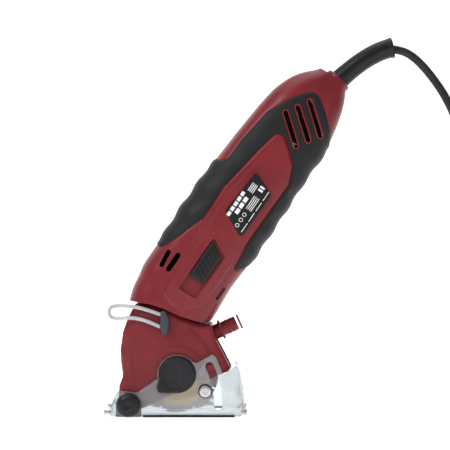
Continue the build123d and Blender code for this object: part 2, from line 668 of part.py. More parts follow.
def make_base():
    middle_x = sum(sole_x) / 2
    length = sole_x[1] - sole_x[0]
    depth = sole_y[1] - sole_y[0]
    floor = extrude(Pos(middle_x, 0) * RectangleRounded(length, depth, 3.0), amount=floor_thickness)
    slot = Pos(6.0, blade_y) * SlotOverall(54.0, 6.0)
    tub = floor - extrude(slot, amount=floor_thickness)
    near = rounded(near_wall_points, near_wall_radii)
    near = near + Pos(*cap_place) * Circle(12.8)
    near = near - Pos(*cap_place) * Circle(10.1)
    near = near - arc_slot(plunge_arc_radius, 5.4, -1.0, 25.4)
    near = near - Pos(*stop_place) * Circle(1.9)
    near = near - Pos(pivot_x, pivot_z) * Circle(2.5)
    far = rounded(far_wall_points, far_wall_radii) - Pos(pivot_x, pivot_z) * Circle(2.5)
    tub += plate(near, *near_wall_y)
    tub += plate(far, *far_wall_y)
    front_face = [(-44.2, 1.0), (-44.0, 6.4), (-40.7, 13.0), (-39.1, 13.0), (-42.4, 6.4), (-42.6, 1.0)]
    tub += plate(make_face(Polyline(front_face, close=True)), near_wall_y[0], far_wall_y[1])
    rear_band = Pos(pivot_x, pivot_z) * (Circle(rear_arc[1]) - Circle(rear_arc[0]))
    low_part = rear_band & Pos(40.0, 7.0) * Rectangle(30.0, 12.0)
    high_part = rear_band & Pos(40.0, 17.5) * Rectangle(30.0, 33.0)
    tub += plate(low_part, near_wall_y[0], far_wall_y[1])
    tub += plate(high_part, near_wall_y[0], -16.5)
    tub += plate(high_part, 4.0, far_wall_y[1])
    pins = Part()
    for x, run in ((-47.2, 5.4), (42.6, 4.0)):
        for y in (-18.0, 20.0):
            stem = Plane(origin=(x, y, 4.4), x_dir=(0, 1, 0), z_dir=(1, 0, 0))
            pins += extrude(stem * Circle(1.4), amount=run)
            head_start = 0.0 if x < 0 else run - 1.6
            pins += extrude(stem.offset(head_start) * Circle(2.1), amount=1.6)
    keep("base_tub", tub - pins)
    keep("guide_pins", pins)
    lug = Pos(pivot_x, pivot_z) * Circle(lug_radius)
    foot_height = pivot_z - floor_thickness
    lug += Pos(pivot_x, floor_thickness + foot_height / 2) * Rectangle(2 * lug_radius, foot_height)
    lug -= Pos(pivot_x, pivot_z) * Circle(2.5)
    lug -= Pos(pivot_x, 0) * Rectangle(4 * lug_radius, 2 * floor_thickness)
    keep("pivot_bracket", plate(lug, -26.0, near_wall_y[0]))
    rails = Part()
    for y_low, y_high in ((-27.4, -24.2), (27.1, 27.9)):
        rails += Pos(8.5, (y_low + y_high) / 2, floor_thickness + 0.7) * Box(60.0, y_high - y_low, 1.4)
    keep("sole_rails", rails)
    pivot = pin_y(pivot_x, pivot_z, 2.5, -29.0, far_wall_y[1])
    pivot += pin_y(pivot_x, pivot_z, 4.6, far_wall_y[1], 29.0)
    keep("pivot_pin", pivot)
    coil_radius, wire = 4.4, 0.55
    helix = Helix(pitch=1.5, height=7.5, radius=coil_radius)
    start = Plane(origin=helix @ 0, z_dir=helix % 0)
    spring = sweep(start * Circle(wire), path=helix)
    spring_frame = Plane(origin=(pivot_x, 5.0, pivot_z), x_dir=(1, 0, 0), z_dir=(0, 1, 0))
    keep("return_spring", spring_frame * spring)
    knob = pin_y(pivot_x, pivot_z, 8.0, -32.2, -26.3)
    knob = fillet(knob.faces().sort_by(Axis.Y)[0].edges(), 2.6)
    knob -= pin_y(pivot_x, pivot_z, 2.5 + running_gap, -29.3, -26.3)
    keep("pivot_knob", knob)
    cap = Pos(*cap_place) * Circle(12.2)
    tab = [(-11.5, -3.0), (-13.2, -9.0), (-11.8, -11.6), (-4.0, -11.8), (0.0, -8.0)]
    cap += make_face(Polyline([(cap_place[0] + x, cap_place[1] + z) for x, z in tab], close=True))
    dome = plate(cap, -28.8, near_wall_y[0] - 0.1)
    dome = chamfer(dome.faces().sort_by(Axis.Y)[0].edges(), 1.2)
    keep("arbor_cap", dome + pin_y(*cap_place, 9.9, near_wall_y[0] - 0.1, -21.6))
    keep("stop_ring", ring_y(*stop_place, 4.6, 1.9 + running_gap, -25.2, near_wall_y[0] - 0.1))
    keep("stop_screw", socket_screw(*stop_place, 3.9, 1.86, (-28.2, -25.25), -21.9, 3.6))


# ---------------------------------------------------------------- cord, plug and loop
sleeve_start = (103.6, 219.3)
sleeve_middle = (125.2, 237.2)
sleeve_end = (143.9, 245.3)
sleeve_radius = 6.6

cord_route = [
    (143.9, 0.0, 244.3), (149.5, 0.0, 243.5), (155.9, 0.0, 240.6), (162.6, 0.0, 234.9),
    (170.0, 0.0, 226.2), (178.6, -0.6, 213.8), (186.5, -2.4, 196.5), (191.8, -6.0, 174.0),
    (194.6, -11.0, 146.0), (195.6, -17.5, 116.0), (195.2, -24.5, 88.0), (195.2, -30.5, 63.0),
    (195.8, -34.4, 42.5), (197.6, -37.0, 27.5), (202.4, -39.0, 15.8), (210.6, -40.2, 7.4),
    (221.6, -40.6, 3.1), (236.0, -40.6, 3.0),
]
coil_centre = (236.0, -2.0)
coil_mid_radius = 30.1
coil_half_width = 11.3
coil_height = 11.4
tail_route = [
    (274.6, -2.0, 8.6), (273.4, 9.0, 10.2), (268.2, 18.8, 14.2), (259.6, 25.8, 17.6), (248.0, 28.0, 18.4),
]
plug_x = (214.0, 248.0)          # the plug lies on top of the coil
plug_place = (28.0, 18.5)

loop_route = [
    (-9.2, -23.3, 68.4), (-19.5, -23.4, 72.2), (-29.0, -23.4, 74.0), (-37.5, -23.4, 74.6),
    (-43.6, -23.4, 73.6), (-43.4, -23.4, 66.6), (-37.0, -23.4, 66.0), (-29.0, -23.4, 66.8),
    (-19.5, -23.4, 65.0), (-9.4, -23.3, 60.4),
]
toggle_points = [
    (-9.5, 71.0), (-7.0, 71.4), (-4.6, 66.5), (-4.2, 62.5), (-5.4, 55.4), (-8.4, 55.0),
    (-10.2, 60.0), (-10.0, 66.0),
]


def cord_path(route):
    """Straight runs joined by arcs as large as the runs allow; also the arcs' radii."""
    points = [Vector(*p) for p in route]
    radii = []
    for before, at, after in zip(points, points[1:], points[2:]):
        turn = math.radians((at - before).get_angle(after - at))
        shorter = min((at - before).length, (after - at).length)
        radii.append(0.45 * shorter / math.tan(turn / 2))
    return FilletPolyline(*points, radius=radii), radii


def make_tube(name, route, diameter):
    path, radii = cord_path(route)
    start = Plane(origin=path @ 0, z_dir=path % 0)
    tube = sweep(start * Circle(diameter / 2), path=path)
    expected = math.pi * diameter**2 / 4 * path.length
    print(name, "radii", [round(r, 1) for r in radii], "length", round(path.length, 1))
    print(name, "volume", round(tube.volume, 1), "expected", round(expected, 1))
    keep(name, tube)


def make_cords():
    make_tube("power_cord", cord_route, cord_diameter)
    ring = Circle(coil_mid_radius + coil_half_width) - Circle(coil_mid_radius - coil_half_width)
    coil = extrude(Pos(*coil_centre, 0.2) * ring, amount=coil_height)
    keep("cord_coil", fillet(coil.edges(), 2.4))
    make_tube("plug_lead", tail_route, cord_diameter)
    tie = Pos(coil_centre[0] - coil_mid_radius, coil_centre[1], coil_height / 2 + 0.45)
    outer = Box(2 * coil_half_width + 1.4, 6.0, coil_height + 0.9)
    keep("cord_tie", tie * (outer - Box(2 * coil_half_width + 0.1, 6.0, coil_height + 0.1)))
    length = plug_x[1] - plug_x[0]
    block = Pos(sum(plug_x) / 2, *plug_place) * Box(length, 26.0, 13.6)
    keep("plug_body", fillet(block.edges(), 3.0))
    pins = Part()
    for side in (-9.5, 9.5):
        start = (plug_x[0], plug_place[0] + side, plug_place[1])
        stem = Plane(origin=start, z_dir=(-1, 0, 0))
        pins += extrude(stem * Circle(2.0), amount=19.0)
    keep("plug_pins", pins)
    make_tube("keeper_loop", loop_route, loop_diameter)
    toggle = plate(make_face(Polyline(toggle_points, close=True)), -26.4, guard_face_y)
    keep("loop_toggle", chamfer(toggle.faces().sort_by(Axis.Y)[0].edges(), 0.8))


def make_sleeve():
    path = ThreePointArc(
        (sleeve_start[0], 0, sleeve_start[1]),
        (sleeve_middle[0], 0, sleeve_middle[1]),
        (sleeve_end[0], 0, sleeve_end[1]),
    )
    start = Plane(origin=path @ 0, z_dir=path % 0)
    return sweep(start * Circle(sleeve_radius), path=path)


# ---------------------------------------------------------------- everything
def make_all():
    shell, grip = make_casing()
    sleeve = make_sleeve()
    start = Plane(origin=(107.4, 0, 223.4), x_dir=(0, 1, 0), z_dir=(0.70, 0, 0.714))
    neck = extrude(start.offset(-4.0) * Circle(8.4), amount=7.0)
    shell = shell + neck - sleeve
    rod_notch = block_u(94.0, 108.0, -8.0, -2.6, -25.0, -22.0)
    shell -= rod_notch
    keep("cord_sleeve", sleeve)
    keep("housing_near", halves(shell)[0])
    keep("housing_far", halves(shell)[1])
    keep("grip_near", halves(grip)[0])
    keep("grip_far", halves(grip)[1])
    screws = Part()
    for u, v in screw_places:
        x, z = body_xz(u, v)
        screw = make_screw(u, v) - plate(Pos(x, z) * Rectangle(3.6, 0.7), 15.2, 16.0)
        screws += screw
    for y in (-6.5, 6.5):
        screws += pin_u(2.0, 165.4, 168.0, -6.5, y)
    keep("casing_screws", screws)
    label_corners = ((107.0, 3.0), (100.0, -13.6), (65.8, -13.0), (74.5, 5.6))
    label_face = rounded([body_xz(*p) for p in label_corners], [2.0] * 4)
    keep("rating_label", plate(label_face, -29.8, -29.5))
    slider = block_u(slider_rest[0], slider_rest[1], slider_v[0], slider_v[1], *slider_y)
    for i in range(5):
        low = slider_rest[0] + 3.0 + 4.6 * i
        slider -= block_u(low, low + 2.0, slider_v[0] - 1, slider_v[1] + 1, slider_y[0], slider_y[0] + 0.8)
    slider += block_u(38.0, 44.0, -7.3, -3.7, slider_y[1], -22.9)
    keep("switch_slider", slider)
    rod = block_u(38.0, 108.0, -7.0, -4.0, -23.9, -22.9)
    keep("slide_rod", rod - block_u(38.0, 44.0, -7.3, -3.7, -26.0, -22.9))
    keep("cord_clamp", block_u(168.0, 174.0, -13.0, 0.0, -10.0, 10.0))
    make_motor()
    make_rotating_head()
    guard, guide = make_guard()
    keep("guard_near", guard)
    keep("depth_guide", guide)
    keep("gear_case", make_gear_case())
    keep("gear_cover", make_gear_cover())
    screws = Part()
    for x, z in guard_screw_places:
        screws += far_screw(x, z, 2.2, 1.25, (plate_y[1], plate_y[1] + 1.6), -12.0)
    for x, z in cover_screw_places():
        screws += far_screw(x, z, 2.2, 1.2, (cover_y[1], cover_y[1] + 1.4), 9.0)
    keep("head_screws", screws)
    port = port_cylinder(4.9, -9.0, 0.0) + port_cylinder(6.6, -0.8, 0.8) + port_cylinder(4.7, 0.8, 11.0)
    keep("dust_port", port - port_cylinder(3.6, -16.0, 12.0))
    button = pin_y(*lock_place, 5.0, 22.6, 24.4) + pin_y(*lock_place, 1.5, 18.6, 22.6)
    keep("lock_button", button)
    make_base()
    make_cords()
    for name, shape in made.items():
        export_step(shape, f"parts/{name}.step")
        print(name, len(shape.solids()))


make_all()
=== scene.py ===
import json
import math

import bmesh
import bpy
import numpy as np
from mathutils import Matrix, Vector


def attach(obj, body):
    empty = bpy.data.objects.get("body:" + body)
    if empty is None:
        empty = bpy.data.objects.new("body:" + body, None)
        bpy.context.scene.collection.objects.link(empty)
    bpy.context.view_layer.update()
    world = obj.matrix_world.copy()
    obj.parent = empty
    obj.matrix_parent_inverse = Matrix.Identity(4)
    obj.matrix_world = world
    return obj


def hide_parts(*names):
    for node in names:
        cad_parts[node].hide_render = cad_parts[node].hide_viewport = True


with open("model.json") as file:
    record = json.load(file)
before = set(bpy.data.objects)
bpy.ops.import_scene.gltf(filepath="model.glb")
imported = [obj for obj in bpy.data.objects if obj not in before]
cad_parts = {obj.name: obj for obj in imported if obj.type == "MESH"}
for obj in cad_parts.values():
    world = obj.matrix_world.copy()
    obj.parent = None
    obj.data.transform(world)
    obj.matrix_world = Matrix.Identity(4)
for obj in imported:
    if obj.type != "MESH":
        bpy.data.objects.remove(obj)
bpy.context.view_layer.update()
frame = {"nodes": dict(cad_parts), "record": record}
nodes = frame["nodes"]
mm = 0.001
print("frame loaded")

# The casing leans back: u runs along it towards the cord, v across it
casingAxis = {"x": -5.6, "z": 71.8, "lean": 55.5}
alongX, alongZ = math.cos(math.radians(casingAxis["lean"])), math.sin(math.radians(casingAxis["lean"]))


def casingPoint(u, v):
    return casingAxis["x"] + u * alongX - v * alongZ, casingAxis["z"] + u * alongZ + v * alongX


def casingOutline(points):
    return [casingPoint(u, v) for u, v in points]


# Stage: camera, lights and floor
studio = {
    "cameraPlace": (0.0322, -1.1, 0.1271), "lens": 132, "world": 0.36,
    "keyPower": 11.5, "fillPower": 1.4, "rimPower": 5, "topPower": 4.5,
}


def makeStage():
    scene = bpy.context.scene
    scene.view_settings.view_transform = "Standard"
    camera = bpy.data.objects.new("camera", bpy.data.cameras.new("camera"))
    scene.collection.objects.link(camera)
    camera.location = studio["cameraPlace"]
    camera.rotation_euler = (math.radians(90), 0, 0)
    camera.data.lens = studio["lens"]
    camera.data.clip_start = 0.01
    scene.camera = camera
    world = bpy.data.worlds.new("studioAir")
    world.use_nodes = True
    world.node_tree.nodes["Background"].inputs["Color"].default_value = (1, 1, 1, 1)
    world.node_tree.nodes["Background"].inputs["Strength"].default_value = studio["world"]
    scene.world = world
    for name, place, size, power in (
        ("keyLight", (-0.75, -0.75, 1.05), 0.55, studio["keyPower"]),
        ("fillLight", (0.9, -1.1, 0.5), 0.9, studio["fillPower"]),
        ("rimLight", (0.5, 0.9, 0.8), 0.6, studio["rimPower"]),
        ("topLight", (0.0, 0.1, 1.3), 0.8, studio["topPower"]),
    ):
        lamp = bpy.data.lights.new(name, "AREA")
        lamp.energy, lamp.size = power, size
        holder = bpy.data.objects.new(name, lamp)
        holder.location = place
        aim = Vector((0.06, 0, 0.12)) - Vector(place)
        holder.rotation_euler = aim.to_track_quat("-Z", "Y").to_euler()
        scene.collection.objects.link(holder)
    # floor that sweeps up behind
    profile = [(-3.0, 0.0), (1.2, 0.0)]
    profile += [(1.2 + 0.8 * math.sin(a), 0.8 - 0.8 * math.cos(a)) for a in np.radians(range(10, 91, 10))]
    profile += [(2.0, 3.0)]
    corners = [(x, y, z) for y, z in profile for x in (-4.0, 4.0)]
    faces = [(2 * i, 2 * i + 1, 2 * i + 3, 2 * i + 2) for i in range(len(profile) - 1)]
    mesh = bpy.data.meshes.new("studioFloor")
    mesh.from_pydata(corners, [], faces)
    mesh.polygons.foreach_set("use_smooth", [True] * len(faces))
    floor = bpy.data.objects.new("studioFloor", mesh)
    scene.collection.objects.link(floor)
    paper = bpy.data.materials.new("studioPaper")
    paper.use_nodes = True
    shader = paper.node_tree.nodes["Principled BSDF"]
    shader.inputs["Base Color"].default_value = (0.9, 0.9, 0.9, 1)
    shader.inputs["Roughness"].default_value = 0.9
    shader.inputs["Emission Color"].default_value = (1, 1, 1, 1)
    shader.inputs["Emission Strength"].default_value = 0.62
    mesh.materials.append(paper)


makeStage()
print("stage made")

# Finishes
def look(colour, shade, rough, grain, bump, **more):
    # rough runs from the lighter to the darker spots; grain is the fine pattern's size in mm
    return {"colour": colour, "shade": shade, "rough": rough, "grain": grain, "bump": bump, **more}


finishes = {
    "redPlastic": look((0.185, 0.014, 0.02), (0.135, 0.009, 0.013), (0.34, 0.46), 0.35, 0.05, coat=0.12),
    "blackRubber": look((0.0125, 0.013, 0.014), (0.008, 0.008, 0.009), (0.5, 0.64), 0.5, 0.12),
    "blackPlastic": look((0.014, 0.014, 0.016), (0.009, 0.009, 0.01), (0.3, 0.42), 0.4, 0.06),
    "sleeveRubber": look((0.01, 0.0105, 0.011), (0.007, 0.007, 0.008), (0.26, 0.36), 0.6, 0.04),
    "cordSheath": look((0.018, 0.018, 0.019), (0.012, 0.012, 0.013), (0.34, 0.46), 0.5, 0.08),
    "labelFilm": look((0.012, 0.012, 0.013), (0.009, 0.009, 0.01), (0.25, 0.33), 1.5, 0.02),
    "labelInk": look((0.78, 0.78, 0.78), (0.7, 0.7, 0.7), (0.4, 0.5), 0.8, 0.02),
    "steel": look((0.5, 0.5, 0.51), (0.38, 0.38, 0.39), (0.28, 0.42), 0.25, 0.05, metal=1),
    "brightSteel": look((0.58, 0.58, 0.59), (0.42, 0.42, 0.43), (0.2, 0.34), 0.3, 0.03, metal=1),
    "darkCast": look((0.045, 0.046, 0.05), (0.03, 0.03, 0.034), (0.5, 0.62), 0.7, 0.2),
    "copper": look((0.72, 0.29, 0.13), (0.5, 0.17, 0.07), (0.25, 0.4), 0.4, 0.05, metal=1, lines=0.5),
    "lamination": look((0.3, 0.3, 0.31), (0.12, 0.12, 0.13), (0.35, 0.5), 0.3, 0.1, metal=1, lines=0.6),
    "brass": look((0.68, 0.46, 0.16), (0.5, 0.31, 0.09), (0.24, 0.38), 0.4, 0.04, metal=1),
    "carbon": look((0.02, 0.02, 0.022), (0.012, 0.012, 0.013), (0.6, 0.75), 0.3, 0.15),
    "whitePlastic": look((0.72, 0.72, 0.7), (0.62, 0.62, 0.6), (0.35, 0.5), 0.5, 0.04),
    "whiteCord": look((0.62, 0.62, 0.62), (0.42, 0.42, 0.44), (0.5, 0.65), 0.3, 0.1),
    "greyRubber": look((0.055, 0.06, 0.068), (0.038, 0.042, 0.048), (0.5, 0.62), 0.5, 0.12),
    "bladeGold": look((0.72, 0.47, 0.19), (0.5, 0.3, 0.11), (0.25, 0.38), 0.35, 0.04, metal=1, rings=0.35),
    "diamondRim": look((0.56, 0.54, 0.5), (0.26, 0.25, 0.24), (0.4, 0.75), 0.45, 0.5, metal=0.6),
    "mottledRubber": look((0.022, 0.023, 0.026), (0.008, 0.008, 0.009), (0.55, 0.7), 1.2, 0.3),
}
made = {}


def newNode(tree, kind, **settings):
    node = tree.nodes.new(kind)
    for name, value in settings.items():
        setattr(node, name, value)
    return node


def makeFinish(name):
    if name in made:
        return made[name]
    facts = finishes[name]
    material = bpy.data.materials.new(name)
    material.use_nodes = True
    tree = material.node_tree
    shader = tree.nodes["Principled BSDF"]
    link = tree.links.new
    place = newNode(tree, "ShaderNodeTexCoord")
    centre = newNode(tree, "ShaderNodeMapping")
    link(place.outputs["Object"], centre.inputs["Vector"])
    broad = newNode(tree, "ShaderNodeTexNoise")
    broad.inputs["Scale"].default_value = 45
    broad.inputs["Detail"].default_value = 5
    fine = newNode(tree, "ShaderNodeTexNoise")
    fine.inputs["Scale"].default_value = 1 / (facts["grain"] * mm)
    fine.inputs["Detail"].default_value = 3
    for texture in (broad, fine):
        link(centre.outputs["Vector"], texture.inputs["Vector"])
    blend = newNode(tree, "ShaderNodeMath", operation="MULTIPLY_ADD")
    blend.inputs[1].default_value = 0.45
    link(fine.outputs["Fac"], blend.inputs[0])
    halve = newNode(tree, "ShaderNodeMath", operation="MULTIPLY")
    halve.inputs[1].default_value = 0.55
    link(broad.outputs["Fac"], halve.inputs[0])
    link(halve.outputs[0], blend.inputs[2])
    pattern = blend.outputs[0]
    if facts.get("lines") or facts.get("rings"):  # stacked sheets, windings or ground rings
        wave = newNode(tree, "ShaderNodeTexWave")
        if facts.get("rings"):
            wave.wave_type, wave.rings_direction = "RINGS", "Y"
            centre.inputs["Location"].default_value = (-0.5 * mm, 0, -29.4 * mm)
            wave.inputs["Scale"].default_value = 0.5 / (facts["rings"] * mm) / 3
        else:
            wave.wave_type, wave.bands_direction = "BANDS", "X"
            centre.inputs["Rotation"].default_value = (0, math.radians(casingAxis["lean"]), 0)
            wave.inputs["Scale"].default_value = 0.5 / (facts["lines"] * mm) / 3
        wave.inputs["Distortion"].default_value = 0.6
        wave.inputs["Detail Scale"].default_value = 8
        link(centre.outputs["Vector"], wave.inputs["Vector"])
        mixed = newNode(tree, "ShaderNodeMath", operation="MULTIPLY_ADD")
        mixed.inputs[1].default_value = 0.5
        link(wave.outputs["Fac"], mixed.inputs[0])
        lower = newNode(tree, "ShaderNodeMath", operation="MULTIPLY")
        lower.inputs[1].default_value = 0.5
        link(pattern, lower.inputs[0])
        link(lower.outputs[0], mixed.inputs[2])
        pattern = mixed.outputs[0]
    colours = newNode(tree, "ShaderNodeValToRGB")
    colours.color_ramp.elements[0].position = 0.36
    colours.color_ramp.elements[0].color = (*facts["shade"], 1)
    colours.color_ramp.elements[1].position = 0.62
    colours.color_ramp.elements[1].color = (*facts["colour"], 1)
    link(pattern, colours.inputs["Fac"])
    link(colours.outputs["Color"], shader.inputs["Base Color"])
    gloss = newNode(tree, "ShaderNodeMapRange")
    gloss.inputs["From Min"].default_value = 0.35
    gloss.inputs["From Max"].default_value = 0.65
    gloss.inputs["To Min"].default_value, gloss.inputs["To Max"].default_value = facts["rough"]
    link(pattern, gloss.inputs["Value"])
    link(gloss.outputs["Result"], shader.inputs["Roughness"])
    rounding = newNode(tree, "ShaderNodeBevel", samples=4)
    rounding.inputs["Radius"].default_value = 0.28 * mm
    bump = newNode(tree, "ShaderNodeBump")
    bump.inputs["Distance"].default_value = 0.12 * mm
    bump.inputs["Strength"].default_value = facts["bump"]
    link(pattern, bump.inputs["Height"])
    link(rounding.outputs["Normal"], bump.inputs["Normal"])
    link(bump.outputs["Normal"], shader.inputs["Normal"])
    shader.inputs["Metallic"].default_value = facts.get("metal", 0)
    shader.inputs["Coat Weight"].default_value = facts.get("coat", 0)
    shader.inputs["Coat Roughness"].default_value = 0.3
    shader.inputs["Specular IOR Level"].default_value = facts.get("specular", 0.22)
    made[name] = material
    return material


clearShell = {"tint": (0.74, 0.775, 0.79, 1), "rough": 0.05, "ior": 1.5, "haze": 0.2, "clear": 0.84}


def makeClear():
    material = bpy.data.materials.new("clearPlastic")
    material.use_nodes = True
    tree = material.node_tree
    shader = tree.nodes["Principled BSDF"]
    link = tree.links.new
    place = newNode(tree, "ShaderNodeTexCoord")
    scuffs = newNode(tree, "ShaderNodeTexNoise")
    scuffs.inputs["Scale"].default_value = 420
    scuffs.inputs["Detail"].default_value = 6
    link(place.outputs["Object"], scuffs.inputs["Vector"])
    gloss = newNode(tree, "ShaderNodeMapRange")
    gloss.inputs["From Min"].default_value = 0.4
    gloss.inputs["From Max"].default_value = 0.75
    gloss.inputs["To Min"].default_value = clearShell["rough"]
    gloss.inputs["To Max"].default_value = clearShell["rough"] + clearShell["haze"]
    link(scuffs.outputs["Fac"], gloss.inputs["Value"])
    link(gloss.outputs["Result"], shader.inputs["Roughness"])
    bump = newNode(tree, "ShaderNodeBump")
    bump.inputs["Distance"].default_value = 0.05 * mm
    bump.inputs["Strength"].default_value = 0.08
    link(scuffs.outputs["Fac"], bump.inputs["Height"])
    link(bump.outputs["Normal"], shader.inputs["Normal"])
    shader.inputs["Base Color"].default_value = clearShell["tint"]
    shader.inputs["IOR"].default_value = clearShell["ior"]
    shader.inputs["Transmission Weight"].default_value = clearShell["clear"]
    made["clearPlastic"] = material


makeClear()
cadFinish = {
    "red_plastic": "redPlastic", "black_rubber": "blackRubber", "black_plastic": "blackPlastic",
    "label_film": "labelFilm", "steel": "steel", "bright_steel": "brightSteel", "dark_cast": "darkCast",
    "lamination": "lamination", "copper": "copper", "brass": "brass", "carbon": "carbon",
    "blade_gold": "bladeGold", "clear_plastic": "clearPlastic", "white_plastic": "whitePlastic",
    "white_cord": "whiteCord", "grey_rubber": "greyRubber",
}
slotOfNode = {part["node"]: part["material_slot"] for part in frame["record"]["subparts"]}
bodyOfNode = {n: b for b, members in frame["record"]["behaviour"]["bodies"].items() for n in members}


def finishFor(name):
    return made[name] if name in made else makeFinish(name)


for name, node in nodes.items():
    finish = finishFor(cadFinish[slotOfNode[name]])
    node.data.materials.clear()
    node.data.materials.append(finish)
print("finishes made")


# Mesh helpers
def addPiece(name, mesh, finish, body, replaced=(), sharp=35):
    piece = bpy.data.objects.new(name, mesh)
    bpy.context.scene.collection.objects.link(piece)
    mesh.materials.clear()
    mesh.materials.append(finishFor(finish))
    mesh.polygons.foreach_set("material_index", [0] * len(mesh.polygons))
    mesh.polygons.foreach_set("use_smooth", [True] * len(mesh.polygons))
    mesh.set_sharp_from_angle(angle=math.radians(sharp))
    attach(piece, body)
    if replaced:
        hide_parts(*replaced)
    return piece


def closedMesh(name, points, faces):
    points = np.asarray(points, float)
    mesh = bpy.data.meshes.new(name)
    volume = 0.0
    for face in faces:
        a = points[face[0]]
        for i in range(1, len(face) - 1):
            volume += np.dot(a, np.cross(points[face[i]], points[face[i + 1]]))
    if volume < 0:
        faces = [tuple(reversed(f)) for f in faces]
    mesh.from_pydata((points * mm).tolist(), [], faces)
    mesh.validate()
    return mesh


def prism(outline, low, high):
    count = len(outline)
    points = [(x, low, z) for x, z in outline] + [(x, high, z) for x, z in outline]
    faces = [tuple(range(count)), tuple(range(2 * count - 1, count - 1, -1))]
    faces += [(i, i + count, (i + 1) % count + count, (i + 1) % count) for i in range(count)]
    return closedMesh("tool", points, faces)


def combine(mesh, tool, operation):
    first = bpy.data.objects.new("first", mesh)
    second = bpy.data.objects.new("second", tool)
    for o in (first, second):
        bpy.context.scene.collection.objects.link(o)
    change = first.modifiers.new("change", "BOOLEAN")
    change.operation, change.solver, change.object = operation, "MANIFOLD", second
    bpy.context.view_layer.update()
    result = bpy.data.meshes.new_from_object(first.evaluated_get(bpy.context.evaluated_depsgraph_get()))
    bpy.data.objects.remove(first)
    bpy.data.objects.remove(second)
    if not len(result.polygons):
        raise RuntimeError("nothing left after " + operation)
    return result


def cutAway(mesh, *tools):
    for tool in tools:
        mesh = combine(mesh, tool, "DIFFERENCE")
    return mesh


def roundOff(points, radii, steps=6):
    # a closed outline with its corners rounded
    made2d = []
    count = len(points)
    radii = radii if hasattr(radii, "__len__") else [radii] * count
    for i in range(count):
        before, at, after = (np.array(points[j % count], float) for j in (i - 1, i, i + 1))
        a, b = before - at, after - at
        la, lb = np.linalg.norm(a), np.linalg.norm(b)
        a, b = a / la, b / lb
        half = math.acos(np.clip(a @ b, -1, 1)) / 2
        reach = min(radii[i] / max(math.tan(half), 1e-6), 0.48 * la, 0.48 * lb)
        if radii[i] <= 0 or math.pi / 2 - half < 0.02:
            made2d.append(tuple(at))
            continue
        p, q = at + a * reach, at + b * reach
        for k in range(steps + 1):
            t = k / steps
            made2d.append(tuple((1 - t) ** 2 * p + 2 * t * (1 - t) * at + t * t * q))
    return made2d


def circle(x, z, radius, count=64):
    turns = np.linspace(0, 2 * math.pi, count, endpoint=False)
    return [(x + radius * math.cos(a), z + radius * math.sin(a)) for a in turns]


def stadium(a, b, width, steps=10):
    # a slot's outline between two points
    a, b = np.array(a, float), np.array(b, float)
    along = math.atan2(*(b - a)[::-1])
    outline = []
    for centre, start in ((b, along - math.pi / 2), (a, along + math.pi / 2)):
        for k in range(steps + 1):
            turn = start + math.pi * k / steps
            outline.append((centre[0] + width / 2 * math.cos(turn), centre[1] + width / 2 * math.sin(turn)))
    return outline


def insideBy(points, outline):
    # how far each point lies inside an outline; negative outside
    points, ring = np.asarray(points, float), np.asarray(outline, float)
    nearest = np.full(len(points), 1e9)
    inside = np.zeros(len(points), bool)
    for a, b in zip(ring, np.roll(ring, -1, axis=0)):
        edge = b - a
        t = np.clip(((points - a) @ edge) / max(edge @ edge, 1e-12), 0, 1)
        nearest = np.minimum(nearest, np.linalg.norm(points - a - t[:, None] * edge, axis=1))
        crosses = (a[1] > points[:, 1]) != (b[1] > points[:, 1])
        with np.errstate(divide="ignore", invalid="ignore"):
            where = a[0] + (points[:, 1] - a[1]) / (b[1] - a[1]) * (b[0] - a[0])
        inside ^= crosses & (points[:, 0] < where)
    return np.where(inside, nearest, -nearest)


def ease(value, low, high):
    t = np.clip((value - low) / (high - low), 0, 1)
    return t * t * (3 - 2 * t)


def reliefBlock(outline, height, back, step=0.5, high=3.0):
    # a block whose near face is a height field over X and Z, trimmed to its outline
    ring = np.asarray(outline, float)
    low, top = ring.min(0) - 1.5, ring.max(0) + 1.5
    xs = np.arange(low[0], top[0] + step, step)
    zs = np.arange(low[1], top[1] + step, step)
    gx, gz = np.meshgrid(xs, zs, indexing="ij")
    flat = np.stack([gx.ravel(), gz.ravel()], 1)
    face = height(flat, insideBy(flat, outline))
    nx, nz = len(xs), len(zs)
    points = np.concatenate([
        np.stack([flat[:, 0], face, flat[:, 1]], 1),
        np.stack([flat[:, 0], np.full(len(flat), back + high), flat[:, 1]], 1),
    ])
    grid = np.arange(nx * nz).reshape(nx, nz)
    quads = np.stack([grid[:-1, :-1], grid[1:, :-1], grid[1:, 1:], grid[:-1, 1:]], -1).reshape(-1, 4)
    faces = [tuple(q) for q in quads.tolist()] + [tuple(reversed(q)) for q in (quads + nx * nz).tolist()]
    rim = list(grid[:, 0]) + list(grid[-1, 1:]) + list(grid[-2::-1, -1]) + list(grid[0, -2:0:-1])
    n = nx * nz
    rim = [int(k) for k in rim]
    faces += [(a + n, b + n, b, a) for a, b in zip(rim, rim[1:] + rim[:1])]
    block = closedMesh("block", points, faces)
    return combine(block, prism(outline, -60, back), "INTERSECT")


def sweptTube(name, centres, radii, sides=48):
    # rings of given radii round a line of centres, closed at both ends
    centres = np.asarray(centres, float)
    ahead = np.gradient(centres, axis=0)
    ahead /= np.linalg.norm(ahead, axis=1)[:, None]
    points, faces = [], []
    for centre, way, radius in zip(centres, ahead, radii):
        across = np.cross(way, (0, 1, 0))
        across /= np.linalg.norm(across)
        other = np.cross(way, across)
        for k in range(sides):
            a = 2 * math.pi * k / sides
            points.append(centre + radius * (math.cos(a) * across + math.sin(a) * other))
    for i in range(len(centres) - 1):
        for k in range(sides):
            j = (k + 1) % sides
            faces.append((i * sides + k, i * sides + j, (i + 1) * sides + j, (i + 1) * sides + k))
    faces.append(tuple(range(sides - 1, -1, -1)))
    faces.append(tuple(range((len(centres) - 1) * sides, len(centres) * sides)))
    return closedMesh(name, points, faces)


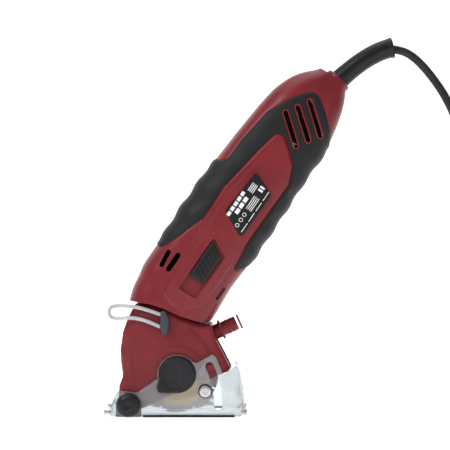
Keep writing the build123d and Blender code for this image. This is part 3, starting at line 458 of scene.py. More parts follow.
def turned(name, centre, way, profile, sides=64):
    # a lathe-turned form: profile is (distance along way, radius)
    way = np.array(way, float) / np.linalg.norm(way)
    across = np.cross(way, (0.3, 0.2, 0.9))
    across /= np.linalg.norm(across)
    other = np.cross(way, across)
    points, faces = [], []
    for along, radius in profile:
        for k in range(sides):
            a = 2 * math.pi * k / sides
            outwards = math.cos(a) * across + math.sin(a) * other
            points.append(np.array(centre) + along * way + max(radius, 0.01) * outwards)
    rows = len(profile)
    for i in range(rows - 1):
        for k in range(sides):
            j = (k + 1) % sides
            faces.append((i * sides + k, i * sides + j, (i + 1) * sides + j, (i + 1) * sides + k))
    faces.append(tuple(range(sides - 1, -1, -1)))
    faces.append(tuple(range((rows - 1) * sides, rows * sides)))
    return closedMesh(name, points, faces)


# Geometry nodes that repeat a small shape along a line or round a centre
def addSockets(tree, **kinds):
    for name, kind in kinds.items():
        tree.interface.new_socket(name, in_out="INPUT", socket_type="NodeSocket" + kind)
    tree.interface.new_socket("Geometry", in_out="OUTPUT", socket_type="NodeSocketGeometry")


def makeRepeater():
    tree = bpy.data.node_groups.new("repeatShape", "GeometryNodeTree")
    addSockets(tree, Geometry="Geometry", Count="Int", Centre="Vector", Step="Vector", Turn="Vector", Finish="Material")
    start, end = tree.nodes.new("NodeGroupInput"), tree.nodes.new("NodeGroupOutput")
    line = newNode(tree, "GeometryNodeMeshLine", mode="OFFSET")
    place = tree.nodes.new("GeometryNodeInstanceOnPoints")
    index = tree.nodes.new("GeometryNodeInputIndex")
    turning = newNode(tree, "ShaderNodeVectorMath", operation="SCALE")
    realize = tree.nodes.new("GeometryNodeRealizeInstances")
    paint = tree.nodes.new("GeometryNodeSetMaterial")
    link = tree.links.new
    link(start.outputs["Count"], line.inputs["Count"])
    link(start.outputs["Centre"], line.inputs["Start Location"])
    link(start.outputs["Step"], line.inputs["Offset"])
    link(start.outputs["Turn"], turning.inputs[0])
    link(index.outputs[0], turning.inputs["Scale"])
    link(line.outputs["Mesh"], place.inputs["Points"])
    link(start.outputs["Geometry"], place.inputs["Instance"])
    link(turning.outputs[0], place.inputs["Rotation"])
    link(place.outputs["Instances"], realize.inputs["Geometry"])
    link(realize.outputs["Geometry"], paint.inputs["Geometry"])
    link(start.outputs["Finish"], paint.inputs["Material"])
    link(paint.outputs["Geometry"], end.inputs["Geometry"])
    return tree


repeater = makeRepeater()


def runNodes(name, source, tree, settings):
    holder = bpy.data.objects.new(name, source)
    bpy.context.scene.collection.objects.link(holder)
    change = holder.modifiers.new("change", "NODES")
    change.node_group = tree
    for item in tree.interface.items_tree:
        if item.in_out == "INPUT" and item.name in settings:
            change[item.identifier] = settings[item.name]
    bpy.context.view_layer.update()
    result = bpy.data.meshes.new_from_object(holder.evaluated_get(bpy.context.evaluated_depsgraph_get()))
    holder.modifiers.remove(change)
    bpy.data.objects.remove(holder)
    return result


def repeated(name, shape, count, centre, step, turn, finish):
    return runNodes(name, shape, repeater, {
        "Count": count, "Centre": tuple(c * mm for c in centre), "Step": tuple(s * mm for s in step),
        "Turn": turn, "Finish": finishFor(finish),
    })


def roundedBar(length, width, height, way=(1, 0), at=(0, 0, 0)):
    # a small bar with a rounded back, along a direction in X and Z, standing towards -Y
    ax, az = way[0] / math.hypot(*way), way[1] / math.hypot(*way)
    section = [(-0.5, 0.6), (-0.5, -0.35), (-0.3, -0.85), (0, -1), (0.3, -0.85), (0.5, -0.35), (0.5, 0.6)]
    points, faces = [], []
    for s, size in ((-0.5, 0.72), (-0.46, 1.0), (0.46, 1.0), (0.5, 0.72)):
        for w, h in section:
            along, side = s * length, w * width * size
            lift = h * height * (size if h < 0 else 1)
            points.append((at[0] + ax * along - az * side, at[1] + lift, at[2] + az * along + ax * side))
    count = len(section)
    for i in range(3):
        for k in range(count):
            j = (k + 1) % count
            faces.append((i * count + k, i * count + j, (i + 1) * count + j, (i + 1) * count + k))
    faces.append(tuple(range(count - 1, -1, -1)))
    faces.append(tuple(range(3 * count, 4 * count)))
    return closedMesh("bar", points, faces)


# Cords
powerCord = {
    "diameter": 5.6, "turns": 6.25, "perTurn": 16, "outerRadius": 38.6, "pitch": 5.65,
    "centre": (236, -2), "low": 3.0, "high": 8.6, "climb": (2.93, 3.2), "length": 1.483,
}
cordDrop = [
    (143.9, 0, 244.3), (149.5, 0, 243.5), (155.9, 0, 240.6), (162.6, 0, 234.9), (170, 0, 226.2),
    (178.6, -0.6, 213.8), (186.5, -2.4, 196.5), (191.8, -6, 174), (194.6, -11, 146),
    (195.6, -17.5, 116), (195.2, -24.5, 88), (195.2, -30.5, 63), (195.8, -34.4, 42.5),
    (197.6, -37, 27.5), (202.4, -39, 15.8), (210.6, -40.2, 7.4), (221.6, -40.6, 3.1), (236, -40.6, 3),
]
cordTail = [(273.9, 9, 10.2), (270, 18.2, 13.4), (263, 24.6, 16.4), (254.6, 27.5, 18.2), (246, 28, 18.5)]


def coilPoints():
    facts = powerCord
    start, end = facts["climb"]
    points = []
    for i in range(1, int(facts["turns"] * facts["perTurn"]) + 1):
        t = i / facts["perTurn"]
        turn = math.radians(360 * t - 90)
        inner = facts["outerRadius"] - 3 * facts["pitch"]
        if t < 3:
            radius = facts["outerRadius"] - facts["pitch"] * t
        elif t < end:
            radius = inner
        else:
            radius = inner + 3 * facts["pitch"] * (t - end) / (facts["turns"] - end)
        height = facts["low"] + (facts["high"] - facts["low"]) * min(max((t - start) / (end - start), 0), 1)
        x, y = facts["centre"]
        points.append((x + radius * math.cos(turn), y + radius * math.sin(turn), height))
    return points


def makeCord(name, points, diameter, finish, sides=5):
    curve = bpy.data.curves.new(name, "CURVE")
    curve.dimensions = "3D"
    curve.bevel_depth = diameter / 2 * mm
    curve.bevel_resolution = sides
    curve.use_fill_caps = True
    spline = curve.splines.new("NURBS")
    spline.points.add(len(points) - 1)
    for target, (x, y, z) in zip(spline.points, points):
        target.co = (x * mm, y * mm, z * mm, 1)
    spline.order_u = 3
    spline.use_endpoint_u = True
    curve.resolution_u = 8
    curve.materials.append(finishFor(finish))
    cord = bpy.data.objects.new(name, curve)
    bpy.context.scene.collection.objects.link(cord)
    return cord


leadCord = makeCord("leadCord", cordDrop + coilPoints() + cordTail, powerCord["diameter"], "cordSheath")
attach(leadCord, "casing")
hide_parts("power_cord", "cord_coil", "plug_lead")

keeper = {"diameter": 2.8, "length": 0.0742, "ribPitch": 1.05, "ribHeight": 0.28}
keeperRoute = [
    (-9.2, -23.3, 68.4), (-19.5, -23.4, 72.2), (-29, -23.4, 74), (-37.5, -23.4, 74.6), (-43.6, -23.4, 73.6),
    (-43.4, -23.4, 66.6), (-37, -23.4, 66), (-29, -23.4, 66.8), (-19.5, -23.4, 65), (-9.4, -23.3, 60.4),
]
keeperCord = makeCord("keeperCord", keeperRoute, keeper["diameter"] - 2 * keeper["ribHeight"], "whiteCord")
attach(keeperCord, "casing")
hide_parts("keeper_loop")


def makeRibber():
    # rings at even spacing along a curve
    tree = bpy.data.node_groups.new("ribsAlongCord", "GeometryNodeTree")
    addSockets(tree, Geometry="Geometry", Pitch="Float", Radius="Float", Rib="Float", Finish="Material")
    start, end = tree.nodes.new("NodeGroupInput"), tree.nodes.new("NodeGroupOutput")
    spread = newNode(tree, "GeometryNodeCurveToPoints", mode="LENGTH")
    ring = tree.nodes.new("GeometryNodeCurvePrimitiveCircle")
    section = tree.nodes.new("GeometryNodeCurvePrimitiveCircle")
    ring.inputs["Resolution"].default_value, section.inputs["Resolution"].default_value = 14, 6
    hoop = tree.nodes.new("GeometryNodeCurveToMesh")
    place = tree.nodes.new("GeometryNodeInstanceOnPoints")
    realize, paint = tree.nodes.new("GeometryNodeRealizeInstances"), tree.nodes.new("GeometryNodeSetMaterial")
    link = tree.links.new
    link(start.outputs["Geometry"], spread.inputs["Curve"])
    link(start.outputs["Pitch"], spread.inputs["Length"])
    link(start.outputs["Radius"], ring.inputs["Radius"])
    link(start.outputs["Rib"], section.inputs["Radius"])
    link(ring.outputs["Curve"], hoop.inputs["Curve"])
    link(section.outputs["Curve"], hoop.inputs["Profile Curve"])
    link(spread.outputs["Points"], place.inputs["Points"])
    link(spread.outputs["Rotation"], place.inputs["Rotation"])
    link(hoop.outputs["Mesh"], place.inputs["Instance"])
    link(place.outputs["Instances"], realize.inputs["Geometry"])
    link(realize.outputs["Geometry"], paint.inputs["Geometry"])
    link(start.outputs["Finish"], paint.inputs["Material"])
    link(paint.outputs["Geometry"], end.inputs["Geometry"])
    return tree


bareLine = keeperCord.data.copy()
bareLine.bevel_depth = 0
ribMesh = runNodes("keeperRibs", bareLine, makeRibber(), {
    "Pitch": keeper["ribPitch"] * mm, "Radius": (keeper["diameter"] / 2 - keeper["ribHeight"]) * mm,
    "Rib": keeper["ribHeight"] * 1.1 * mm, "Finish": finishFor("whiteCord"),
})
keeperRibs = addPiece("keeperRibs", ribMesh, "whiteCord", "casing")
print("cords made")

# Casing
casing = {
    # along the axis, lower edge, upper edge, half width, corner
    "stations": [
        (-16, -27.5, 21.5, 25, 15), (0, -28.2, 26.7, 26, 16), (15, -28.3, 30.2, 27, 17), (35, -26.8, 30, 27.6, 17),
        (60, -28.2, 30.9, 28, 17), (90, -27.8, 30.6, 28, 17), (120, -26.9, 28.9, 27.2, 17),
        (145, -27.4, 26.8, 25.5, 16), (160, -24.8, 24.8, 23.5, 15), (172, -21.8, 20.5, 20.5, 14),
        (181, -18.4, 14.5, 16.5, 12), (188.5, -14, 6, 10, 8),
    ],
    "sharpness": 11, "along": 330, "around": 320, "wall": 3.4, "rubberDepth": 1.5,
    "panelRise": 1.5, "gripRise": 0.75, "wave": 0.55, "wavePitch": 19.5, "parting": 0.07,
}
panelShape = [
    (7.5, 8.2), (5, 0), (6, -9), (12, -16.4), (28, -17.4), (66, -17.4), (112, -18.2), (124, -13), (136, 1.5),
    (134.5, 6), (120, 9), (87, 14), (62, 13.2),
]
gripShape = [
    (30.9, 40), (30.9, 26.8), (41.5, 21.9), (51.1, 18.5), (62, 14.6), (87, 15), (120, 10), (134.5, 7), (137.2, 1.5),
    (125, -14), (113, -19.4), (66, -18.8), (44.6, -21), (50.4, -26.4), (56.6, -30.3), (57, -40), (150, -40),
    (150, -27),
    (156.8, -22.6), (167.9, -7.8), (171.3, -2.5), (171, 2.4), (166.2, 7.2), (158.7, 12.2), (143, 19.6), (119.5, 22.8),
    (104, 23.2), (99.8, 26.4), (99.8, 40),
]
collarRim = [(-11, 27), (-3.3, 11.3), (-0.4, 1.4), (1.3, -9.3), (5.2, -22), (12, -34)]
recess = {
    "outline": [(56.4, 1.7), (16.3, 1.8), (17.0, -10.8), (50.2, -11.4)], "floor": -26.6, "under": -24.4,
    "bay": [(58.5, 3.6), (14.2, 3.8), (15, -12.8), (52.4, -13.4)],  # the floor's own outline, under the edge
}
vents = {
    "ends": [((149.6, 9), (135.6, -8.6)), ((157.2, 4.6), (143.2, -13.2)), ((164.8, 0.2), (150.2, -18))],
    "width": 2.9, "rim": 4.9,
}
smallSlots = [((31.6, 20.6), (22.2, 19.4), 3.0), ((33.4, 14.2), (22.6, 14.2), 3.4), ((32, -22.8), (24.5, -22.8), 2.0)]

panelLine = roundOff(panelShape, 4.5)
gripLine = roundOff(gripShape, 2.2, 5)
recessLine = roundOff(recess["outline"], 1.4)


def casingBody(name, offset, along, around, relief=None, reach=0.0):
    table = np.array(casing["stations"], float)
    us = np.linspace(-16 - reach, 188.5, along)
    keep = [np.interp(us, table[:, 0], table[:, k]) for k in range(1, 5)]
    spread = max(int(along * 7 / 205), 1)  # smooth the stations into each other
    kernel = np.hanning(2 * spread + 3)
    kernel /= kernel.sum()
    low, high, half, corner = (np.convolve(np.pad(c, spread + 1, mode="edge"), kernel, "valid") for c in keep)
    angles = np.linspace(0, 2 * math.pi, around, endpoint=False)
    dy, dv = np.cos(angles)[None, :], np.sin(angles)[None, :]
    root = math.sqrt(0.5)
    cut = corner * (math.sqrt(2) - 1)
    total = np.zeros((along, around))
    for ny, nv, distance in (
        (1, 0, half), (-1, 0, half), (0, 1, high), (0, -1, -low),
        (root, root, (half + high) * root - cut), (-root, root, (half + high) * root - cut),
        (root, -root, (half - low) * root - cut), (-root, -root, (half - low) * root - cut),
    ):
        total += np.maximum(0, (ny * dy + nv * dv) / distance[:, None]) ** casing["sharpness"]
    radius = total ** (-1 / casing["sharpness"])
    y, v = radius * dy, radius * dv
    y *= (half / np.abs(y).max(1))[:, None]
    v = np.where(v > 0, v * (high / v.max(1))[:, None], v * (low / v.min(1))[:, None])
    u = np.repeat(us[:, None], around, 1)
    size = np.hypot(y, v)
    grow = np.full_like(size, -offset)
    if relief:
        grow = grow + relief(u, v, y, half[:, None])
    y, v = y * (1 + grow / size), v * (1 + grow / size)
    x = casingAxis["x"] + u * alongX - v * alongZ
    z = casingAxis["z"] + u * alongZ + v * alongX
    points = np.stack([x, y, z], -1).reshape(-1, 3)
    faces = []
    for i in range(along - 1):
        for k in range(around):
            j = (k + 1) % around
            faces.append((i * around + k, i * around + j, (i + 1) * around + j, (i + 1) * around + k))
    faces.append(tuple(range(around - 1, -1, -1)))
    faces.append(tuple(range((along - 1) * around, along * around)))
    return closedMesh(name, points, faces)


def redRelief(u, v, y, half):
    flat = np.stack([u.ravel(), v.ravel()], 1)
    panel = insideBy(flat, panelLine).reshape(u.shape)
    grip = insideBy(flat, gripLine).reshape(u.shape)
    side = ease(np.abs(y) / half, 0.5, 0.72)
    rise = casing["panelRise"] * ease(panel, -1.1, 1.0) * side
    fold = ease(panel, 3.6, 5.2) * ease(-panel, -8.5, -6.0)  # long and soft
    rise -= 0.35 * fold * side * ease(u, 8, 30) * ease(v, 2, 7)
    rise -= 0.3 * ease(grip, -0.9, 0.1)  # the edge falls away at the rubber
    rise += 0.8 * ease(-u, -9, 2)  # collar lip
    lip = insideBy(flat, recessLine).reshape(u.shape)
    rise += np.where(y < 0, 0.35 * ease(lip, -2.4, -0.8) * (1 - ease(lip, -0.5, 0.3)) * side, 0)
    return rise


def gripRelief(u, v, y, half):
    flat = np.stack([u.ravel(), v.ravel()], 1)
    grip = insideBy(flat, gripLine).reshape(u.shape)
    rise = casing["gripRise"] * ease(grip, -0.2, 1.5)
    edges = ease(np.abs(v), 15, 24)
    rise += casing["wave"] * edges * np.sin(2 * math.pi * (u - 36) / casing["wavePitch"]) * ease(grip, 1, 5)
    return rise


def throughBoth(outlineUv, low=-50, high=50):
    return prism(casingOutline(outlineUv), low, high)


collarCut = [(-60, 60), (-30, 60), (-22, 48)] + collarRim + [(20, -60), (-60, -60)]
coreBody = casingBody("core", casing["rubberDepth"], 120, 120)
hollow = casingBody("hollow", casing["wall"], 110, 110, reach=6)


red = casingBody("red", 0, casing["along"], casing["around"], redRelief)
red = cutAway(red, throughBoth(gripLine))
red = combine(red, coreBody.copy(), "UNION")
rimBody = casingBody("rim", -1.05, 150, 160)
for a, b in vents["ends"]:
    ventRim = combine(rimBody.copy(), throughBoth(stadium(a, b, vents["rim"])), "INTERSECT")
    red = combine(red, ventRim, "UNION")
red = cutAway(red, hollow.copy())
red = cutAway(red, throughBoth(collarCut))
for a, b in vents["ends"]:
    red = cutAway(red, throughBoth(stadium(a, b, vents["width"])))
for a, b, width in smallSlots:
    red = cutAway(red, prism(casingOutline(stadium(a, b, width)), -50, -18))
bayBlock = throughBoth(roundOff(recess["bay"], 2), recess["floor"], recess["under"])
recessFloor = combine(casingBody("lining", 0.4, 90, 90), bayBlock, "INTERSECT")
recessFloor = combine(recessFloor, hollow.copy(), "INTERSECT")
red = cutAway(red, prism(casingOutline(recessLine), -50, recess["floor"]))
print("red casing", len(red.polygons))

rubber = casingBody("rubber", 0, casing["along"], casing["around"], gripRelief)
rubber = combine(rubber, throughBoth(gripLine), "INTERSECT")
rubber = cutAway(rubber, casingBody("core", casing["rubberDepth"] - 0.02, 120, 120))
for a, b in vents["ends"]:
    rubber = cutAway(rubber, throughBoth(stadium(a, b, vents["rim"] + 0.3)))
print("rubber grip", len(rubber.polygons))

bigBox = [(-300, -300), (500, -300), (500, 500), (-300, 500)]
for label, low, high in (("Near", -80, -casing["parting"]), ("Far", casing["parting"], 80)):
    half = combine(red.copy(), prism(bigBox, low, high), "INTERSECT")
    addPiece("casing" + label, half, "redPlastic", "casing", ["housing_" + label.lower()], 38)
    half = combine(rubber.copy(), prism(bigBox, low, high), "INTERSECT")
    addPiece("grip" + label, half, "blackRubber", "casing", ["grip_" + label.lower()], 38)
addPiece("switchBay", recessFloor, "redPlastic", "casing")
print("casing made")

# Blade guard
guardShape = {
    "points": [
        (-26.9, 75.2), (-31.9, 64.9), (-34.6, 57.1), (-36.3, 45.3), (-35.7, 36.1), (-34.6, 28.3), (-37.2, 21.5),
        (-37, 12), (-34.6, 4.6), (-26.6, 4.6), (-21.9, 6.3), (-7.1, 13.3), (8, 20), (13.9, 25.6), (21.6, 25.9),
        (35, 31.6), (35.3, 34), (30.8, 42.9), (25.9, 52), (23.6, 61.8), (18, 61.4), (11.6, 63.6), (2.6, 67.3),
        (-7.2, 72), (-17, 75),
    ],
    "radii": [2, 8, 9, 9, 9, 6, 5, 5, 3, 3, 6, 3, 5, 3, 3, 2, 2, 20, 12, 2, 4, 4, 8, 8, 4],
    "face": -21, "back": -2, "edge": 3.2, "wall": 2, "hub": (0.5, 29.4), "hubHole": 9.4,
    "pivot": (-30.6, 10.0), "ticks": 9, "tickRadius": 62.5, "tickStart": 33.5, "tickStep": 2.1,
}
guardLine = roundOff(guardShape["points"], guardShape["radii"], 7)


def guardFace(flat, inside):
    x, z = flat[:, 0], flat[:, 1]
    edge = guardShape["edge"]
    t = np.clip((edge - inside) / edge, 0, 1)
    fall = edge * (1 - np.sqrt(np.clip(1 - (0.93 * t) ** 2, 0, 1)))
    face = guardShape["face"] + fall
    bulge = ease(inside, 2, 22)
    face -= 0.5 * bulge
    ridge = np.abs(inside - 5.6)
    face -= 0.45 * (1 - ease(ridge, 0, 2.4)) * ease(-x, 14, 24) * ease(z, 14, 22)
    scallop = 0.3 * np.cos(2 * math.pi * (z - 20) / 14.0)  # finger hollows on the front edge
    face += scallop * (1 - ease(inside, 1, 7)) * ease(-x, 24, 32) * ease(z, 16, 22)
    hx, hz = guardShape["hub"]
    r = np.hypot(x - hx, z - hz)
    face -= 0.3 * (1 - ease(np.abs(r - 17.5), 0.6, 1.6)) * ease(z, 30, 36)  # raised arc over the hub
    return face


def insetOutline(points, distance):
    # moves each side of an outline inwards
    ring = np.array(points, float)
    area = 0.5 * sum(a[0] * b[1] - b[0] * a[1] for a, b in zip(ring, np.roll(ring, -1, axis=0)))
    lines = []
    for a, b in zip(ring, np.roll(ring, -1, axis=0)):
        way = (b - a) / np.linalg.norm(b - a)
        inwards = np.array([-way[1], way[0]]) * (1 if area > 0 else -1)
        lines.append((a + inwards * distance, way))
    result = []
    for (p, a), (q, b) in zip([lines[-1]] + lines[:-1], lines):
        cross = a[0] * b[1] - a[1] * b[0]
        if abs(cross) < 1e-3:
            result.append(tuple(q))
            continue
        t = ((q - p)[0] * b[1] - (q - p)[1] * b[0]) / cross
        result.append(tuple(p + a * t))
    return result


guard = reliefBlock(guardLine, guardFace, guardShape["back"], 0.5)
inner = insetOutline(guardShape["points"], guardShape["wall"])
guard = cutAway(
    guard, prism(inner, guardShape["face"] + guardShape["wall"], guardShape["back"] + 1),
    prism(circle(*guardShape["hub"], 28.6, 96), guardShape["face"] + guardShape["wall"], 1),
    prism(circle(*guardShape["hub"], guardShape["hubHole"]), -40, 1),
    prism(circle(*guardShape["pivot"], 2.55), -40, 1),
    prism(circle(-5.137, 75.122, 16.8, 80), -9, 1),
)
addPiece("guardShell", guard, "redPlastic", "casing", ["guard_near"], 40)
px, pz = guardShape["pivot"]
tick = roundedBar(3.2, 0.7, 0.35, (1, 0), (guardShape["tickRadius"], 0, 0))
startAngle = math.radians(guardShape["tickStart"])
shift = np.array([v.co for v in tick.vertices])
cosA, sinA = math.cos(startAngle), math.sin(startAngle)
for vertex, (x, y, z) in zip(tick.vertices, shift):
    vertex.co = (x * cosA - z * sinA, y, x * sinA + z * cosA)
ticks = repeated("tickMesh", tick, guardShape["ticks"], (px, guardShape["face"] - 0.5, pz), (0, 0, 0),
                 (0, -math.radians(guardShape["tickStep"]), 0), "redPlastic")
addPiece("depthTicks", ticks, "redPlastic", "casing")
print("guard made")

# Slide switch
slider = {
    "outline": [(53.6, 1.0), (48.2, -9.2), (27.2, -9.8), (26.9, 0.6)], "back": -26.8, "top": -30.7,
    "ribs": 6, "ribFrom": (30.2, -4.6), "ribStep": (3.35, 0), "ribWay": (-0.45, -0.89), "ribSize": (9.4, 1.15, 0.8),
    "ribField": [(52.6, 0.3), (47.7, -8.5), (27.9, -9.1), (27.6, -0.1)],
}
sliderLine = roundOff(casingOutline(slider["outline"]), 1.6)


def sliderFace(flat, inside):
    t = np.clip((1.5 - inside) / 1.5, 0, 1)
    return slider["top"] + 1.3 * (1 - np.sqrt(np.clip(1 - (0.95 * t) ** 2, 0, 1))) - 0.25 * ease(inside, 1.5, 5)


button = reliefBlock(sliderLine, sliderFace, slider["back"], 0.25)
addPiece("slideButton", button, "blackPlastic", "slider", ["switch_slider"], 40)


def casingWay(u, v):
    return u * alongX - v * alongZ, u * alongZ + v * alongX


ribCentre = casingPoint(*slider["ribFrom"])
ribs = repeated("ribMesh", roundedBar(*slider["ribSize"], casingWay(*slider["ribWay"])), slider["ribs"],
                (ribCentre[0], slider["top"] - 0.15, ribCentre[1]),
                (casingWay(*slider["ribStep"])[0], 0, casingWay(*slider["ribStep"])[1]), (0, 0, 0), "blackPlastic")
ribs = combine(ribs, prism(roundOff(casingOutline(slider["ribField"]), 1.2), -40, -20), "INTERSECT")
addPiece("slideRibs", ribs, "blackPlastic", "slider", sharp=50)
print("switch made")

# Tail ring and strain relief
sleeve = {"start": (103.6, 219.3), "middle": (125.2, 237.2), "end": (143.9, 245.3), "radius": 6.45, "lip": 6.9}
line, radii = [], []
for k in range(41):
    t = k / 40
    a, b, c = (np.array(sleeve[n], float) for n in ("start", "middle", "end"))
    x, z = (1 - t) ** 2 * a + 2 * t * (1 - t) * (2 * b - (a + c) / 2) + t * t * c
    line.append((x, 0, z))
    flare = (sleeve["lip"] - sleeve["radius"]) * ease(t, 0.9, 0.985)
    radii.append(sleeve["radius"] + 0.5 * (1 - ease(t, 0, 0.3)) + flare)
line = np.array(line)
away = (line[-1] - line[-2]) / np.linalg.norm(line[-1] - line[-2])
tube = sweptTube("sleeveTube", np.concatenate([line, [line[-1] + away * 0.25]]), radii + [sleeve["lip"] - 0.35], 56)
bore = turned("bore", tuple(line[-1]), tuple(away), [(-4, 3.3), (0.1, 4.6), (2, 5.4)], 48)
addPiece("cordSleeve", cutAway(tube, bore), "sleeveRubber", "casing", ["cord_sleeve"], 40)
ringProfile = [(-2.2, 7.4), (-1.9, 8.3), (-1.2, 8.8), (0.6, 8.9), (1.3, 8.5), (1.6, 7.7), (1.6, 6.3)]
ring = turned("tailRing", (107.4, 0, 223.4), (0.70, 0, 0.714), ringProfile)
addPiece("tailRing", ring, "redPlastic", "casing", sharp=45)
print("sleeve made")

# Bevelled copies of the plainer solids
def refined(node, name, finish, width, angle=30, segments=2, sharp=35):
    mesh = nodes[node].data.copy()
    shape = bpy.data.objects.new(name + "Raw", mesh)
    bpy.context.scene.collection.objects.link(shape)
    edit = bmesh.new()
    edit.from_mesh(mesh)
    bmesh.ops.remove_doubles(edit, verts=edit.verts, dist=0.004 * mm)
    bmesh.ops.dissolve_limit(edit, angle_limit=math.radians(1.2), verts=edit.verts, edges=edit.edges)
    edit.to_mesh(mesh)
    edit.free()
    soften = shape.modifiers.new("soften", "BEVEL")
    soften.width, soften.segments, soften.limit_method = width * mm, segments, "ANGLE"
    soften.angle_limit = math.radians(angle)
    bpy.context.view_layer.update()
    result = bpy.data.meshes.new_from_object(shape.evaluated_get(bpy.context.evaluated_depsgraph_get()))
    bpy.data.objects.remove(shape)
    return addPiece(name, result, finish, bodyOfNode[node], [node], sharp)


for node, name, finish, width in (
    ("base_tub", "clearBase", "clearPlastic", 0.35), ("pivot_bracket", "pivotLug", "clearPlastic", 0.5),
    ("plug_body", "plugBody", "cordSheath", 0.6), ("loop_toggle", "loopToggle", "greyRubber", 0.9),
    ("gear_case", "gearCase", "darkCast", 0.3), ("sole_rails", "soleRails", "blackPlastic", 0.25),
    ("dust_port", "dustPort", "redPlastic", 0.3), ("cord_tie", "cordTie", "blackPlastic", 0.3),
):
    refined(node, name, finish, width)
portShape = {"place": (29.8, -8, 58.0), "rise": 24, "rings": [(5.0, 5.15), (8.2, 5.15), (13.2, 5.2)]}
rise = math.radians(portShape["rise"])
for along, radius in portShape["rings"]:
    barb = turned("portBarb", portShape["place"], (math.cos(rise), 0, math.sin(rise)), [
        (along - 0.8, 4.0), (along - 0.8, 4.85), (along, radius), (along + 0.3, radius),
        (along + 0.5, 4.85), (along + 0.5, 4.0),
    ])
    addPiece("portBarb", barb, "redPlastic", bodyOfNode["dust_port"], sharp=45)
print("bevelled copies made")

# Hub cap, knob, stop screw and blade
capShape = {
    "place": (1.0, 29.7), "radius": 12.2, "high": -28.8, "low": -24.1, "rim": 10.6, "plug": 9.8,
    "tab": [(-9.5, -1), (-11.8, -3.2), (-13.4, -8.6), (-12.2, -11.8), (-4.6, -12), (-1, -9.5)], "tabHigh": -26.6,
}
knobShape = {
    "place": (-30.6, 10.0), "low": -26.3, "grips": 12, "gripCircle": 9.1, "gripRadius": 1.5,
    "profile": [
        (0, 7.3), (0.5, 7.9), (1.4, 8.0), (2.6, 7.9), (3.9, 7.3), (4.8, 6.4), (5.4, 5.2), (5.75, 3.9),
        (5.85, 3.0), (5.6, 2.7), (5.3, 2.2), (5.2, 0.0),
    ],
}
stopShape = {
    "place": (19.3, 18.8), "high": -28.2, "low": -25.25, "socket": 3.6,
    "head": [(0, 3.5), (0.25, 3.85), (2.2, 3.88), (2.7, 3.6), (2.92, 3.1), (2.95, 0)],
    "shank": [(0, 1.84), (3.0, 1.84), (3.4, 1.5)],
}
bladeShape = {
    "place": (0.5, 29.4), "near": -9.6, "far": -8.4, "disc": 21.6, "rim": 27.4, "bore": 5.05,
    "slots": 8, "slotDepth": 2.6, "slotWidth": 1.1, "inset": 0.12,
}


def capFace(flat, inside):
    cx, cz = capShape["place"]
    r = np.hypot(flat[:, 0] - cx, flat[:, 1] - cz)
    dome = capShape["high"] + 0.5 + 0.9 * (r / capShape["rim"]) ** 2
    rim = 0.8 * (1 - ease(np.abs(r - capShape["rim"]), 0.35, 1.0))
    edge = 2.2 * ease(r, capShape["radius"] - 1.3, capShape["radius"] + 0.1)
    top = np.clip(dome - rim + edge, capShape["high"], capShape["low"] - 0.5)
    return np.where(r < capShape["radius"] + 0.4, top, capShape["tabHigh"] + 1.2 * (1 - ease(inside, 0, 1.2)))


def capTabFace(flat, inside):
    t = np.clip((1.3 - inside) / 1.3, 0, 1)
    return capShape["tabHigh"] + 1.1 * (1 - np.sqrt(np.clip(1 - (0.95 * t) ** 2, 0, 1)))


capX, capZ = capShape["place"]
tabLine = roundOff([(capX + x, capZ + z) for x, z in capShape["tab"]], [0, 2, 3, 3, 2, 0])
capMesh = reliefBlock(circle(capX, capZ, capShape["radius"], 96), capFace, capShape["low"], 0.3)
capMesh = combine(capMesh, reliefBlock(tabLine, capTabFace, capShape["low"], 0.35), "UNION")
plug = capShape["plug"]
collarProfile = [(0, plug), (1.5, plug), (1.9, plug - 0.5)]
collar = turned("capCollar", (capX, capShape["low"] - 0.3, capZ), (0, 1, 0), collarProfile)
capMesh = combine(capMesh, collar, "UNION")
addPiece("hubCap", capMesh, "mottledRubber", bodyOfNode["arbor_cap"], ["arbor_cap"], 40)

kx, kz = knobShape["place"]
knobDome = turned("knobDome", (kx, knobShape["low"], kz), (0, -1, 0), knobShape["profile"], 96)
for x, z in circle(kx, kz, knobShape["gripCircle"], knobShape["grips"]):  # shallow grips round the edge
    knobDome = cutAway(knobDome, prism(circle(x, z, knobShape["gripRadius"], 20), -40, -20))
addPiece("knobCap", knobDome, "blackPlastic", bodyOfNode["pivot_knob"], ["pivot_knob"], 35)

sx, sz = stopShape["place"]
stopHead = turned("stopHead", (sx, stopShape["low"], sz), (0, -1, 0), stopShape["head"], 64)
stopShank = turned("stopShank", (sx, stopShape["low"] - 0.2, sz), (0, 1, 0), stopShape["shank"], 40)
hexSocket = prism(circle(sx, sz, stopShape["socket"] / math.sqrt(3), 6), -40, stopShape["high"] + 1.8)
stopMesh = cutAway(combine(stopHead, stopShank, "UNION"), hexSocket)
addPiece("stopScrewHead", stopMesh, "brightSteel", bodyOfNode["stop_screw"],
         ["stop_screw"], 30)
refined("stop_ring", "stopRing", "blackPlastic", 0.2)

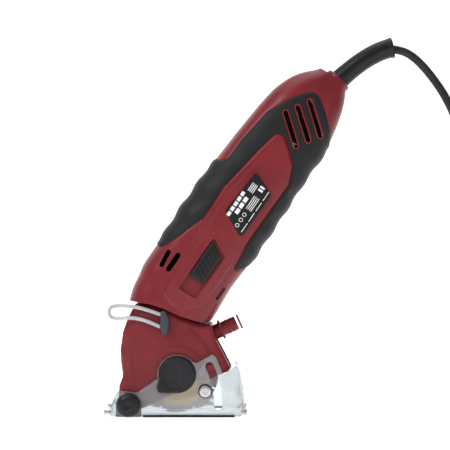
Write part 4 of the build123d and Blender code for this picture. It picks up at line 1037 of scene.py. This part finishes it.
bx, bz = bladeShape["place"]
ringOuter = prism(circle(bx, bz, bladeShape["rim"], 160), bladeShape["near"], bladeShape["far"])
ringMesh = cutAway(ringOuter, prism(circle(bx, bz, bladeShape["disc"], 128), -20, 0))
inset = bladeShape["inset"]
discMesh = prism(circle(bx, bz, bladeShape["disc"], 128), bladeShape["near"] + inset, bladeShape["far"] - inset)
discMesh = cutAway(discMesh, prism(circle(bx, bz, bladeShape["bore"], 64), -20, 0))
for k in range(bladeShape["slots"]):
    turn = 2 * math.pi * (k + 0.5) / bladeShape["slots"]
    ends = [
        (bx + reach * math.cos(turn), bz + reach * math.sin(turn))
        for reach in (bladeShape["rim"] + 3, bladeShape["rim"] - bladeShape["slotDepth"])
    ]
    gap = stadium(*ends, bladeShape["slotWidth"])
    ringMesh = cutAway(ringMesh, prism(gap, -20, 0))
bladeBody = bodyOfNode["saw_blade"]
addPiece("bladeDisc", discMesh, "bladeGold", bladeBody, ["saw_blade"], 30)
addPiece("bladeRim", ringMesh, "diamondRim", bladeBody, ["saw_blade"], 30)
print("cap, knob, stop and blade made")

# Rating label: plain printed marks
labelMarks = {
    "surface": -29.8, "thick": 0.07,
    # u, v of the first mark, its length and width, how many, and the step to the next one in u and v
    "rows": [
        (74.6, 2.2, 3.1, 2.3, 5, 3.9, 0.0), (79.0, -1.5, 3.6, 2.6, 3, 4.5, 0.0),
        (97.0, 0.6, 6.2, 0.55, 4, 0.0, -1.15), (88.5, -5.0, 10.0, 0.5, 4, 0.0, -1.2),
        (100.6, -6.2, 1.4, 3.4, 2, -2.2, 0.0), (72.6, -11.2, 7.0, 0.5, 4, 8.2, 0.0),
    ],
    "rings": (71.4, -6.4, 1.35, 3, 4.1),  # u, v, radius, count, step
}
for u, v, long, wide, count, stepU, stepV in labelMarks["rows"]:
    bar = roundedBar(long, wide, labelMarks["thick"], casingWay(1, 0))
    x, z = casingPoint(u, v)
    dx, dz = casingWay(stepU, stepV)
    row = repeated("markRow", bar, count, (x, labelMarks["surface"], z), (dx, 0, dz), (0, 0, 0), "labelInk")
    addPiece("labelMarks", row, "labelInk", bodyOfNode["rating_label"], sharp=30)
u, v, radius, count, stepU = labelMarks["rings"]
hoop = cutAway(prism(circle(0, 0, radius, 28), -0.08, 0.02), prism(circle(0, 0, radius - 0.4, 28), -1, 1))
x, z = casingPoint(u, v)
dx, dz = casingWay(stepU, 0)
hoops = repeated("markRings", hoop, count, (x, labelMarks["surface"], z), (dx, 0, dz), (0, 0, 0), "labelInk")
addPiece("labelRings", hoops, "labelInk", bodyOfNode["rating_label"], sharp=30)
print("label made")
